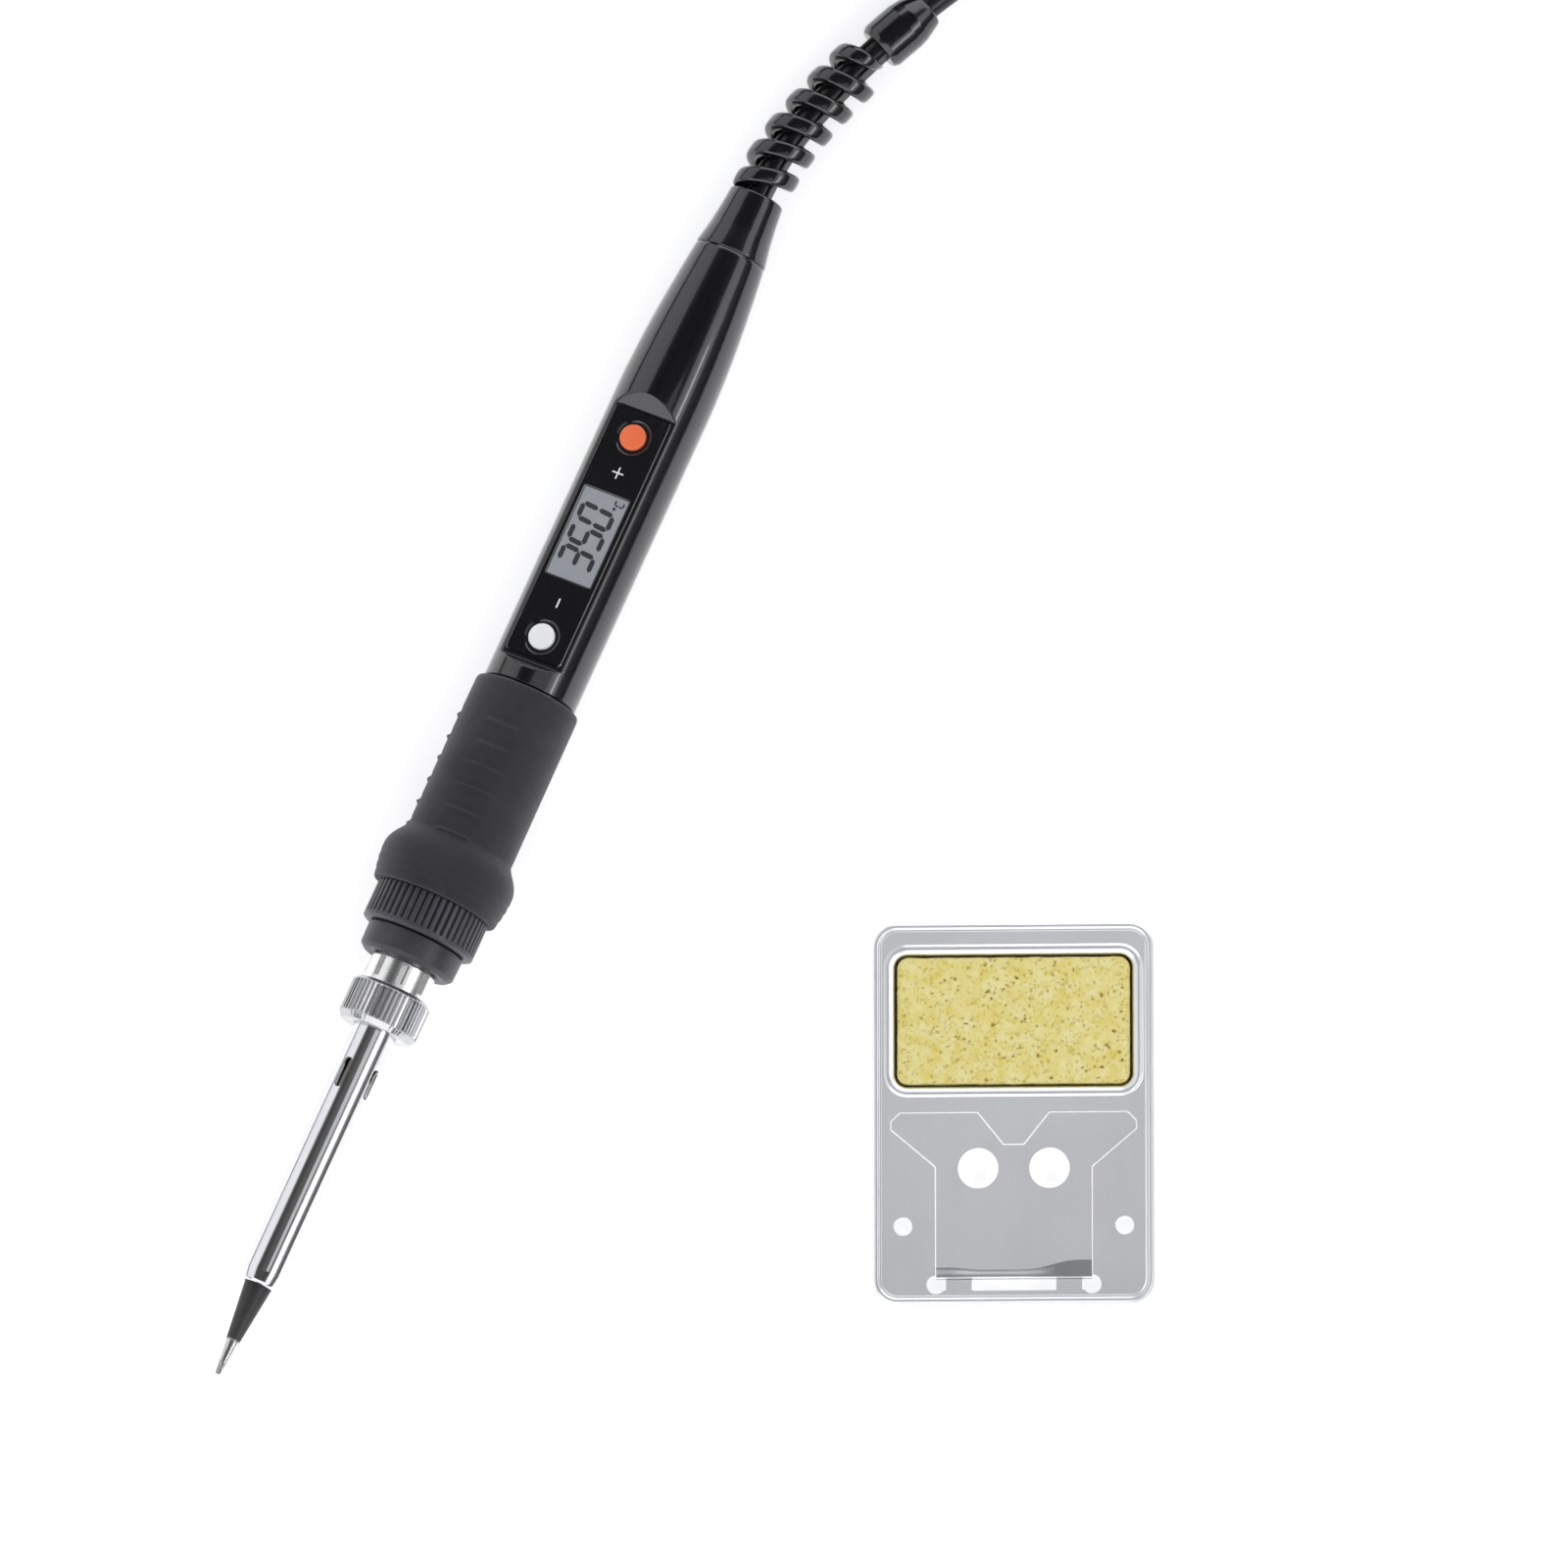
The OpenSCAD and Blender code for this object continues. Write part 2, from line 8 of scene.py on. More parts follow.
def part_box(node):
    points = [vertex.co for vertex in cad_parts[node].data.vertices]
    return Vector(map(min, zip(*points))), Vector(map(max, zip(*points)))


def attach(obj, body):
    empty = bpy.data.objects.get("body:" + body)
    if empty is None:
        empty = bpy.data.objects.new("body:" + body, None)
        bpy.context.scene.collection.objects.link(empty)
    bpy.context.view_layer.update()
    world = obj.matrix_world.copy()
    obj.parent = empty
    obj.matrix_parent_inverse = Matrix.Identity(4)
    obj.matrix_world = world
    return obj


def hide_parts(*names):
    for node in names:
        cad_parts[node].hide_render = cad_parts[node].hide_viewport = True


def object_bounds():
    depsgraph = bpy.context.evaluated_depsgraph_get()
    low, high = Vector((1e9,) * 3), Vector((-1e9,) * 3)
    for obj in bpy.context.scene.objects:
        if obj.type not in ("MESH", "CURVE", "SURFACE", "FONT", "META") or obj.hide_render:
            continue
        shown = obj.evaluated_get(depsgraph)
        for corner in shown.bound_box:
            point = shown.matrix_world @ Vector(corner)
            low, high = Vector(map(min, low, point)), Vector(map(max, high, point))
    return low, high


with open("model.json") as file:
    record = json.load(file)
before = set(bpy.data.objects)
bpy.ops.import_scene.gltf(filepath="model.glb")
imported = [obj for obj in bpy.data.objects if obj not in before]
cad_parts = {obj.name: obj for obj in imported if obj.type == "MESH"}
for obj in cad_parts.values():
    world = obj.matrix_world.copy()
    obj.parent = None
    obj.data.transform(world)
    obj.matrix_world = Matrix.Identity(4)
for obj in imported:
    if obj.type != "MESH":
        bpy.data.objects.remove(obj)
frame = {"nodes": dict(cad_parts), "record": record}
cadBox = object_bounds()

mm = 0.001
joints = {j["name"]: j for j in frame["record"]["behaviour"]["joints"]}
print("frame loaded:", len(frame["nodes"]), "nodes")


# Where things are. The iron has its own axes: z runs from the tip to the cord, -y looks out of the display
nutFromTip = 75 * mm  # the tip nut's pivot, along the iron
ironBack = -Vector(joints["hot_end_pull"]["axis"]).normalized()
faceOut = -Vector(joints["plus_press"]["axis"]).normalized()
ironTip = Vector(joints["tip_nut_turn"]["pos_m"]) - ironBack * nutFromTip


def axesMatrix(x, y, z, at):
    m = Matrix((x, y, z)).transposed().to_4x4()
    m.translation = at
    return m


ironAxes = axesMatrix((-faceOut).cross(ironBack), -faceOut, ironBack, ironTip)
levelSide = ironBack.cross(Vector((0, 0, 1))).normalized()
tailAxes = axesMatrix(levelSide, ironBack.cross(levelSide), ironBack, ironTip)  # the same, level instead of rolled
plateLow, plateHigh = (Vector(p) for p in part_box("base_plate"))
plateAxes = Matrix.Translation(((plateLow.x + plateHigh.x) / 2, (plateLow.y + plateHigh.y) / 2, plateLow.z))


# ---- shader helper: sums on a wrapped socket add their nodes

class Wire:
    def __init__(self, tree, socket=None):
        self.tree = tree
        self.socket = socket

    def node(self, kind, settings=None, out=0, **inputs):
        made = self.tree.nodes.new("ShaderNode" + kind)
        for key, value in (settings or {}).items():
            if key == "stops":
                ramp = made.color_ramp.elements
                while len(ramp) < len(value):
                    ramp.new(0.5)
                for stop, (at, grey) in zip(ramp, value):
                    stop.position = at
                    stop.color = (*grey, 1) if isinstance(grey, tuple) else (grey, grey, grey, 1)
            else:
                setattr(made, key, value)
        for key, value in inputs.items():
            numbered = key[0] == "i" and key[1:].isdigit()
            place = made.inputs[int(key[1:]) if numbered else key.replace("_", " ")]
            if isinstance(value, Wire):
                self.tree.links.new(value.socket, place)
            else:
                place.default_value = value
        return Wire(self.tree, made.outputs[out])

    def maths(self, how, a, b=0.0):
        return self.node("Math", {"operation": how}, i0=a, i1=b)

    def __add__(self, other):
        return self.maths("ADD", self, other)

    def __sub__(self, other):
        return self.maths("SUBTRACT", self, other)

    def __mul__(self, other):
        return self.maths("MULTIPLY", self, other)

    def __rsub__(self, other):
        return self.maths("SUBTRACT", other, self)

    __radd__ = __add__
    __rmul__ = __mul__

    def clamped(self, low, high):
        # 0 below low, 1 above high, either way round
        return self.node("MapRange", {"clamp": True}, Value=self, From_Min=low, From_Max=high, To_Min=0.0, To_Max=1.0)

    def between(self, a, b):
        # colours a to b by this value
        pick = [v if isinstance(v, Wire) else (*v, 1) for v in (a, b)]
        return self.node("Mix", {"data_type": "RGBA"}, out=2, i0=self, i6=pick[0], i7=pick[1])


# ---- camera and light

view = {
    "centre": (17.8, -19.7, 6),  # mm, the point that the camera looks at
    "towards": (0.05, -0.17, 0.984),
    "distance": 3.0,
    "across": 290.9,  # mm seen from side to side
    "sensor": 36,
}


def makeCamera():
    data = bpy.data.cameras.new("camera")
    data.sensor_width = view["sensor"]
    data.lens = view["sensor"] * view["distance"] / (view["across"] * mm)
    data.clip_start = 0.1
    data.clip_end = 20
    cam = bpy.data.objects.new("camera", data)
    bpy.context.scene.collection.objects.link(cam)
    back = Vector(view["towards"]).normalized()
    right = Vector((0, 1, 0)).cross(back).normalized()
    cam.matrix_world = axesMatrix(right, back.cross(right), back, Vector(view["centre"]) * mm + back * view["distance"])
    bpy.context.scene.camera = cam


studio = {
    "tint": (0.955, 0.965, 1.0),
    # height of the direction above the horizon, and how bright the room is there
    "room": ((0.0, 0.03), (0.1, 0.06), (0.25, 0.2), (0.6, 0.22), (0.74, 0.16), (0.83, 0.08), (0.93, 0.06), (1.0, 0.12)),
    # name, point lit (mm), direction on the bench, degrees from overhead, distance, size, brightness
    "boxes": (
        ("left box", (0, 0), (-0.913, 0.406), 61, 1.3, (2.4, 1.1), 0.85),
        ("right box", (0, 0), (0.913, -0.406), 50, 1.2, (2.2, 0.55), 1.25),
        ("right strip", (0, 0), (0.913, -0.406), 52, 1.1, (0.9, 0.07), 6.0),
        ("front box", (0, 0), (-0.406, -0.913), 60, 1.3, (1.7, 1.2), 1.45),
        ("back box", (0, 0), (0.406, 0.913), 67, 1.3, (1.7, 0.9), 1.6),
        ("stand box", (73.5, -68), (-0.28, 0.96), 10, 0.24, (0.18, 0.18), 0.62),
    ),
}


def makeLight(name, spot, side, tilt, distance, size, bright):
    data = bpy.data.lights.new(name, "AREA")
    data.shape = "RECTANGLE"
    data.size, data.size_y = size
    data.color = studio["tint"]
    data.energy = bright * math.pi * size[0] * size[1]
    light = bpy.data.objects.new(name, data)
    a = math.radians(tilt)
    towards = Vector((side[0] * math.sin(a), side[1] * math.sin(a), math.cos(a)))
    light.location = Vector((*spot, 0)) * mm + towards * distance
    light.rotation_euler = (-towards).to_track_quat("-Z", "Y").to_euler()
    bpy.context.scene.collection.objects.link(light)


def makeStudio():
    world = bpy.data.worlds.new("studio")
    bpy.context.scene.world = world
    world.use_nodes = True
    wire = Wire(world.node_tree)
    direction = wire.node("TexCoord")
    height = wire.node("SeparateXYZ", out=2, Vector=direction)
    room = wire.node("ValToRGB", {"stops": studio["room"]}, Fac=height)
    world.node_tree.links.new(room.socket, world.node_tree.nodes["Background"].inputs["Color"])
    for box in studio["boxes"]:
        makeLight(*box)
    bpy.context.scene.view_settings.view_transform = "Standard"


makeCamera()
makeStudio()
print("camera and lights made")


# ---- mesh helpers: all shapes are drawn in millimetres

def polar(r, degrees, x=0.0, y=0.0):
    a = math.radians(degrees)
    return x + r * math.cos(a), y + r * math.sin(a)


def filleted(points, steps=4):
    # points are (x, y, radius) round a closed outline; a corner with a radius becomes an arc
    out = []
    for i, (x, y, rad) in enumerate(points):
        here = Vector((x, y))
        back = Vector(points[i - 1][:2]) - here
        ahead = Vector(points[(i + 1) % len(points)][:2]) - here
        if rad <= 0 or back.angle(ahead) > 3.1:
            out.append((x, y))
            continue
        half = back.angle(ahead) / 2
        reach = min(rad / math.tan(half), back.length * 0.49, ahead.length * 0.49)
        back.normalize()
        ahead.normalize()
        r = reach * math.tan(half)
        centre = here + (back + ahead).normalized() * (r / math.sin(half))
        v0 = here + back * reach - centre
        v1 = here + ahead * reach - centre
        a0 = math.atan2(v0.y, v0.x)
        turn = (math.atan2(v1.y, v1.x) - a0 + math.pi) % (2 * math.pi) - math.pi
        out += [polar(r, math.degrees(a0 + turn * k / steps), *centre) for k in range(steps + 1)]
    return out


def subdivided(points, step):
    out = []
    for a, b in zip(points, points[1:] + points[:1]):
        a, b = Vector(a), Vector(b)
        parts = max(1, math.ceil((b - a).length / step))
        out += [tuple(a.lerp(b, k / parts)) for k in range(parts)]
    return out


def refined(outline, extra):
    # adds points to an outline, after the points that extra names
    return [p for point in outline for p in (point, *extra.get(point, ()))]


def roundedRect(w, l, r, steps=6, x=0, y=0):
    corners = ((1, 1, 0), (-1, 1, 90), (-1, -1, 180), (1, -1, 270))
    return [polar(r, start + 90 * k / steps, x + cx * (w / 2 - r), y + cy * (l / 2 - r))
            for cx, cy, start in corners for k in range(steps + 1)]


def circle(r, x=0, y=0, around=48):
    return [polar(r, 360 * k / around, x, y) for k in range(around)]


def leftTurning(loop):
    area = sum(p[0] * q[1] - p[1] * q[0] for p, q in zip(loop, loop[1:] + loop[:1]))
    return loop if area > 0 else loop[::-1]


def inset(loop, d):
    # moves a counter-clockwise loop inwards by d
    out = []
    n = len(loop)
    for i in range(n):
        p = Vector(loop[i])
        e1 = (p - Vector(loop[i - 1])).normalized()
        e2 = (Vector(loop[(i + 1) % n]) - p).normalized()
        n1, n2 = Vector((-e1.y, e1.x)), Vector((-e2.y, e2.x))
        out.append(tuple(p + (n1 + n2) * (d / (1 + n1.dot(n2)))))
    return out


def atHeight(loop, z):
    return [(x, y, z) for x, y in loop]


def skin(bm, loops, closed=True):
    # joins loops of equal length, one after the other
    rows = [[bm.verts.new(p) for p in loop] for loop in loops]
    pairs = list(zip(rows, rows[1:]))
    if closed:
        pairs.append((rows[-1], rows[0]))
    for low, high in pairs:
        n = len(low)
        for k in range(n):
            bm.faces.new((low[k], low[(k + 1) % n], high[(k + 1) % n], high[k]))
    return rows


def cappedSkin(bm, loops):
    rows = skin(bm, loops, closed=False)
    bm.faces.new(rows[0])
    bm.faces.new(rows[-1])


def fillFlat(bm, loops):
    # one flat face set inside the first loop and outside the others
    edges = []
    for loop in loops:
        for a, b in zip(loop, loop[1:] + loop[:1]):
            edges.append(bm.edges.get((a, b)) or bm.edges.new((a, b)))
    for part in bmesh.ops.triangle_fill(bm, edges=edges, use_beauty=True, normal=(0, 0, 1))["geom"]:
        if isinstance(part, bmesh.types.BMFace):
            part.material_index = 1  # marks it as flat until makeMesh


def flatEnded(bm, loops):
    rows = skin(bm, loops, closed=False)
    fillFlat(bm, [rows[0]])
    fillFlat(bm, [rows[-1]])


def merge(bm, part, matrix):
    spare = bpy.data.meshes.new("spare")
    part.transform(matrix)
    part.to_mesh(spare)
    part.free()
    bm.from_mesh(spare)


def plate(outer, holes=(), low=0, high=1, edge=0.1, bm=None):
    # a flat plate with broken upper edges; a hole is a loop, or a list of (loop, height) down its wall
    bm = bm or bmesh.new()
    tops, bottoms = [], []
    for i, loop in enumerate([outer, *holes]):
        if i and isinstance(loop[0][0], (list, tuple)):
            rows = skin(bm, [atHeight(q, z) for q, z in loop], closed=False)
        else:
            turned = -edge if i else edge
            rows = skin(bm, [atHeight(inset(loop, turned), high), atHeight(loop, high - edge), atHeight(loop, low)],
                        closed=False)
        tops.append(rows[0])
        bottoms.append(rows[-1])
    fillFlat(bm, tops)
    fillFlat(bm, bottoms)
    return bm


def lathe(outline, around=96, shape=None):
    # turns a closed outline of (radius, distance) about z; shape changes the radius
    bm = bmesh.new()
    loops = []
    for r, s in outline:
        loop = []
        for k in range(around):
            a = 2 * math.pi * k / around
            rad = shape(r, s, a) if shape else r
            loop.append((rad * math.cos(a), rad * math.sin(a), s))
        loops.append(loop)
    skin(bm, loops)
    return bm


def sweep(points, section, bm, up=(0, 0, 1)):
    # carries a section of (across, along up) pairs along points
    points = [Vector(p) for p in points]
    loops = []
    for i, p in enumerate(points):
        ahead = (points[min(i + 1, len(points) - 1)] - points[max(i - 1, 0)]).normalized()
        across = ahead.cross(Vector(up)).normalized()
        square = across.cross(ahead)
        loops.append([p + across * x + square * y for x, y in section])
    cappedSkin(bm, loops)


def smoothCurve(points, step):
    # a Catmull-Rom line through points, cut at about equal steps
    pts = [Vector(p) for p in points]
    pts = [pts[0] * 2 - pts[1], *pts, pts[-1] * 2 - pts[-2]]
    out = []
    for a, b, c, d in zip(pts, pts[1:], pts[2:], pts[3:]):
        parts = max(1, round((c - b).length / step))
        for k in range(parts):
            t = k / parts
            out.append(0.5 * (2 * b + (c - a) * t + (2 * a - 5 * b + 4 * c - d) * t * t
                              + (3 * b - a - 3 * c + d) * t * t * t))
    return out + [pts[-2]]


def smoothStep(low, high, x):
    t = min(1, max(0, (x - low) / (high - low)))
    return t * t * (3 - 2 * t)


def band(x, low, high, fallFrom, fallTo):
    # rises from low to high and falls again between the other two
    return smoothStep(low, high, x) * (1 - smoothStep(fallFrom, fallTo, x))


def zigzag(a, count):
    # count times in a turn from 1 to 0 and back
    return abs(a * count / (2 * math.pi) % 1 - 0.5) * 2


def awayFrom(a, b):
    # angle from b to a, the short way
    return (a - b + math.pi) % (2 * math.pi) - math.pi


def softMin(a, b, k):
    h = max(k - abs(a - b), 0) / k
    return min(a, b) - h * h * k / 4


def makeMesh(name, bm, sharp=32):
    bmesh.ops.remove_doubles(bm, verts=bm.verts, dist=0.0005)
    bmesh.ops.recalc_face_normals(bm, faces=bm.faces)
    for f in bm.faces:
        f.smooth = f.material_index == 0
        f.material_index = 0
    for e in bm.edges:
        if len(e.link_faces) == 2 and e.calc_face_angle(0) > math.radians(sharp):
            e.smooth = False
    mesh = bpy.data.meshes.new(name)
    bm.to_mesh(mesh)
    bm.free()
    mesh.transform(Matrix.Scale(mm, 4))
    return mesh


def modified(mesh, kind, **settings):
    # what one modifier makes of a mesh
    base = bpy.data.objects.new("base", mesh)
    bpy.context.scene.collection.objects.link(base)
    modifier = base.modifiers.new("only", kind)
    for key, value in settings.items():
        setattr(modifier, key, value)
    made = bpy.data.meshes.new_from_object(base.evaluated_get(bpy.context.evaluated_depsgraph_get()))
    bpy.data.objects.remove(base)
    return made


def addPiece(name, shape, material, body, axes=Matrix(), stands=(), sharp=32):
    data = shape if isinstance(shape, (bpy.types.Mesh, bpy.types.Curve)) else makeMesh(name, shape, sharp)
    data.transform(axes)
    piece = bpy.data.objects.new(name, data)
    bpy.context.scene.collection.objects.link(piece)
    data.materials.append(material)
    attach(piece, body)
    if stands:
        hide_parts(*stands)
    return piece


def newMaterial(name, fixed, paint, axes=ironAxes):
    # fixed goes straight to the shader's sockets; paint(wire, coordinates) returns what varies along axes
    material = bpy.data.materials.new(name)
    material.use_nodes = True
    tree = material.node_tree
    shader = tree.nodes["Principled BSDF"]
    for key, value in fixed.items():
        shader.inputs[key].default_value = value
    wire = Wire(tree)
    back = axes.inverted()
    place = wire.node("Mapping", Vector=wire.node("TexCoord", out=3), Location=back.translation,
                      Rotation=back.to_euler())
    for key, value in paint(wire, place).items():
        if key == "Height":
            depth, height = value
            value = wire.node("Bump", Strength=1.0, Distance=depth, Height=height)
            key = "Normal"
        tree.links.new(value.socket, shader.inputs[key])
    return material


def stretched(wire, place, x, y, z):
    return wire.node("Mapping", Vector=place, Scale=(x, y, z))


def speckle(wire, place, scale, detail=3.0, rough=0.55):
    return wire.node("TexNoise", Vector=place, Scale=scale, Detail=detail, Roughness=rough)


def scaled(colour, times, plus=0.0):
    return tuple(min(1, c * times + plus) for c in colour)


def glossPlastic(name, colour, rough=0.16, coat=0.25):
    def paint(wire, place):
        cloud = speckle(wire, place, 90.0)
        dust = speckle(wire, place, 2600.0, 2.0).clamped(0.66, 0.74)
        scratch = speckle(wire, stretched(wire, place, 1400, 1400, 60), 1.0, 4.0).clamped(0.6, 0.72)
        lighter = scaled(colour, 1.5, 0.004)
        return {
            "Base Color": (cloud * 0.5 + dust * 0.35).between(colour, lighter),
            "Roughness": rough + cloud * 0.08 + dust * 0.12 + scratch * 0.06,
            "Height": (0.00002, cloud * 1.2 + scratch * 0.12 + dust * 0.2),
        }
    return newMaterial(name, {"IOR": 1.56, "Coat Weight": coat, "Coat Roughness": 0.05}, paint)


def satinPlastic(name, colour, rough=0.42, grain=2200.0, depth=0.00003):
    def paint(wire, place):
        cloud = speckle(wire, place, 120.0)
        pit = speckle(wire, place, grain, 4.0, 0.6)
        lighter = scaled(colour, 1.7, 0.004)
        return {
            "Base Color": (cloud.clamped(0.35, 0.75) * 0.6 + pit.clamped(0.55, 0.75) * 0.3).between(colour, lighter),
            "Roughness": rough + (pit - 0.5) * 0.25 + (cloud - 0.5) * 0.12,
            "Height": (depth, pit),
        }
    return newMaterial(name, {"IOR": 1.47}, paint)


def brightMetal(name, colour, rough, grain, depth=0.000004, smudge=0.08, dark=0.8, axes=ironAxes, streak=0.6):
    # grain is the noise's scale along x, y and z, so unequal numbers make brush lines
    def paint(wire, place):
        lines = speckle(wire, stretched(wire, place, *grain), 1.0, 5.0, 0.6)
        hand = speckle(wire, place, 70.0, 3.0).clamped(0.45, 0.75)
        return {
            "Base Color": (lines * 0.6 + hand * 0.4).between(colour, scaled(colour, dark)),
            "Roughness": rough + (lines - 0.5) * rough * streak + hand * smudge,
            "Height": (depth, lines),
        }
    return newMaterial(name, {"Metallic": 1.0}, paint, axes)


def sheetMetal(name, colour):
    return brightMetal(name, colour, 0.3, (1500, 45, 400), 0.0000012, 0.04, 0.95, plateAxes, 0.25)


def rubberSkin(name, colour):
    def paint(wire, place):
        cloud = speckle(wire, place, 140.0, 4.0).clamped(0.3, 0.75)
        grit = speckle(wire, place, 5200.0, 3.0, 0.7)
        lint = speckle(wire, place, 1900.0, 2.0).clamped(0.68, 0.76)
        lighter = scaled(colour, 1.55, 0.005)
        return {
            "Base Color": (cloud * 0.7 + grit.clamped(0.5, 0.8) * 0.3 + lint * 0.6).between(colour, lighter),
            "Roughness": 0.74 + (grit - 0.5) * 0.25 - cloud * 0.06,
            "Height": (0.00005, grit + cloud * 0.3),
        }
    return newMaterial(name, {"IOR": 1.42, "Sheen Weight": 0.2, "Sheen Roughness": 0.5}, paint)


def spongeSkin(name):
    def paint(wire, place):
        # each point's depth in a hollow of the sponge, used only as a mask for painted shade
        pore = wire.node("Attribute", {"attribute_name": "pore"}, out=2)
        cloud = speckle(wire, place, 420.0, 4.0).clamped(0.35, 0.68)
        fibre = speckle(wire, place, 1500.0, 5.0, 0.7)
        fleck = speckle(wire, place, 1150.0, 3.0, 0.6).clamped(0.56, 0.68)
        face = (cloud * 0.75 + fibre.clamped(0.45, 0.75) * 0.25).between((0.90, 0.82, 0.40), (0.80, 0.65, 0.13))
        face = (fleck * 0.7).between(face, (0.60, 0.47, 0.09))
        return {
            # painted shade: the deeper a point sits in its hollow, the nearer its colour goes to the dark ochre (0.50,
            # 0.38, 0.07)
            "Base Color": pore.clamped(0.1, 0.9).between(face, (0.50, 0.38, 0.07)),
            "Roughness": 0.82 + (fibre - 0.5) * 0.25,
            "Height": (0.00012, fibre + cloud * 0.5),
        }
    return newMaterial(name, {"Subsurface Weight": 0.06, "Subsurface Radius": (0.002, 0.0014, 0.0006),
                              "IOR": 1.38}, paint)


def tipMetal(name):
    # bare point, then dark plating, then the plain shank inside the barrel
    def paint(wire, place):
        along = wire.node("SeparateXYZ", out=2, Vector=place)
        wobble = speckle(wire, place, 900.0, 4.0)
        plated = (along + (wobble - 0.5) * 0.0007).clamped(0.0066, 0.0071)
        shank = along.clamped(0.0186, 0.0189)
        grain = speckle(wire, place, 3800.0, 4.0, 0.7)
        heat = (along + (wobble - 0.5) * 0.004).clamped(0.0185, 0.010)
        solder = grain.clamped(0.35, 0.7).between((0.74, 0.73, 0.71), (0.52, 0.51, 0.5))
        black = (grain.clamped(0.4, 0.7) * 0.5 + heat * 0.5).between((0.035, 0.035, 0.037), (0.075, 0.072, 0.07))
        return {
            "Base Color": shank.between(plated.between(solder, black), (0.55, 0.55, 0.56)),
            "Metallic": 1 - plated * 0.55,
            "Roughness": 0.2 + grain * 0.12 + plated * 0.22 - shank * 0.15,
            "Height": (0.00003, grain + wobble * 0.6),
        }
    return newMaterial(name, {"IOR": 1.5}, paint)


looks = {
    "handle": glossPlastic("glossy black handle", (0.003, 0.003, 0.0048), 0.13, 0.6),
    "boot": glossPlastic("glossy black boot", (0.003, 0.003, 0.0052), 0.12, 0.55),
    "panel": glossPlastic("dark display overlay", (0.002, 0.002, 0.0035), 0.08, 0.5),
    "collar": satinPlastic("satin black collar", (0.036, 0.036, 0.043), 0.4),
    "ribbed": satinPlastic("ribbed black nut", (0.046, 0.046, 0.054), 0.36, 1500.0),
    "grip": rubberSkin("charcoal rubber", (0.0175, 0.0172, 0.0215)),
    "chrome": brightMetal("polished chrome tube", (0.80, 0.80, 0.81), 0.13, (900, 900, 40), 0.000002, 0.05, 0.92),
    "knurl": brightMetal("knurled chrome nut", (0.62, 0.62, 0.63), 0.2, (500, 500, 500), 0.000004, 0.08, 0.85),
    "nipple": brightMetal("bright turned ring", (0.88, 0.88, 0.87), 0.24, (60, 60, 2400), 0.000005, 0.06, 0.9),
    "sheet": sheetMetal("pressed stainless sheet", (0.80, 0.805, 0.815)),
    "restSheet": sheetMetal("cut stainless sheet", (0.79, 0.795, 0.805)),
    "tip": tipMetal("plated copper tip"),
    "sponge": spongeSkin("yellow cellulose sponge"),
    "orange": glossPlastic("orange key", (0.97, 0.165, 0.055), 0.3, 0.15),
    "white": glossPlastic("white key", (0.95, 0.95, 0.93), 0.3, 0.15),
    "print": glossPlastic("white print", (0.88, 0.88, 0.87), 0.4, 0.0),
    "cord": satinPlastic("black lead", (0.008, 0.008, 0.011), 0.3, 1300.0, 0.00002),
    "plug": satinPlastic("moulded black plug", (0.016, 0.016, 0.018), 0.45, 1800.0, 0.00004),
    "tie": satinPlastic("black strap", (0.03, 0.03, 0.033), 0.5, 900.0, 0.00005),
    "pin": brightMetal("plated plug pin", (0.86, 0.84, 0.78), 0.18, (900, 900, 60)),
    "ceramic": satinPlastic("white ceramic", (0.78, 0.75, 0.68), 0.4, 900.0),
    "board": glossPlastic("green board", (0.01, 0.13, 0.05), 0.3, 0.2),
    "dark": satinPlastic("component bodies", (0.025, 0.025, 0.028), 0.5, 1600.0),
    "wire": satinPlastic("red insulation", (0.42, 0.02, 0.015), 0.4, 1200.0),
}
print("materials made")


# ---- mains lead: first, because its room is the tightest thing here

lead = {
    "across": 5.0,
    "length": 1.33,  # m, as declared; the drawn middle line is printed below and is 2% shorter
    "coilAt": (52, 178),
    "turns": [(35, 2.7), (30, 2.7), (25, 2.7), (27.5, 7.05), (32.5, 7.05), (25, 11.4), (30, 11.4)],  # radius, height
    "lastTurn": 0.39,  # part of the last turn that is used
    "swap": 70,  # degrees that a turn takes to move to the next place
}
leadRoute = [
    (44.2, 127.2, 5.7), (48.1, 130.3, 5.3), (52, 133.4, 4.6), (56, 136.5, 3.8), (59.9, 139.6, 3.1),
    (63.8, 142.7, 2.8), (68.7, 146.6, 2.7), (73.7, 150.6, 2.7),
]
plugRoute = [
    (42, 208.4, 12.1), (36, 208.3, 11.7), (30, 208.2, 9.9), (22, 208, 8.2), (14, 207.8, 7.2), (6, 207.8, 6.85),
]

relief = {
    "bends": (60, 170),  # radii of the two arcs that the relief follows
    "firstBend": 18,  # length of the first of them
    "bootEnd": 243.2,
    "across": 11.4,
    "pitch": 5.8,
    "first": -0.85,
    "turns": (0.25, 6.0),
    "collar": (36.6, 45.2, 49.0),
    "strandWide": 1.7,
    "strandThick": 1.3,
}


def reliefAt(l):
    # the relief's middle at a length from the boot, its sideways and its heading, in the tail's axes
    r1, r2 = relief["bends"]
    first = relief["firstBend"]
    a = min(l, first) / r1
    b = a + max(l - first, 0) / r2
    x = r1 * (1 - math.cos(a)) + r2 * (math.cos(a) - math.cos(b))
    z = relief["bootEnd"] + r1 * math.sin(a) + r2 * (math.sin(b) - math.sin(a))
    return Vector((x, 0, z)), Vector((math.cos(b), 0, -math.sin(b))), Vector((math.sin(b), 0, math.cos(b)))


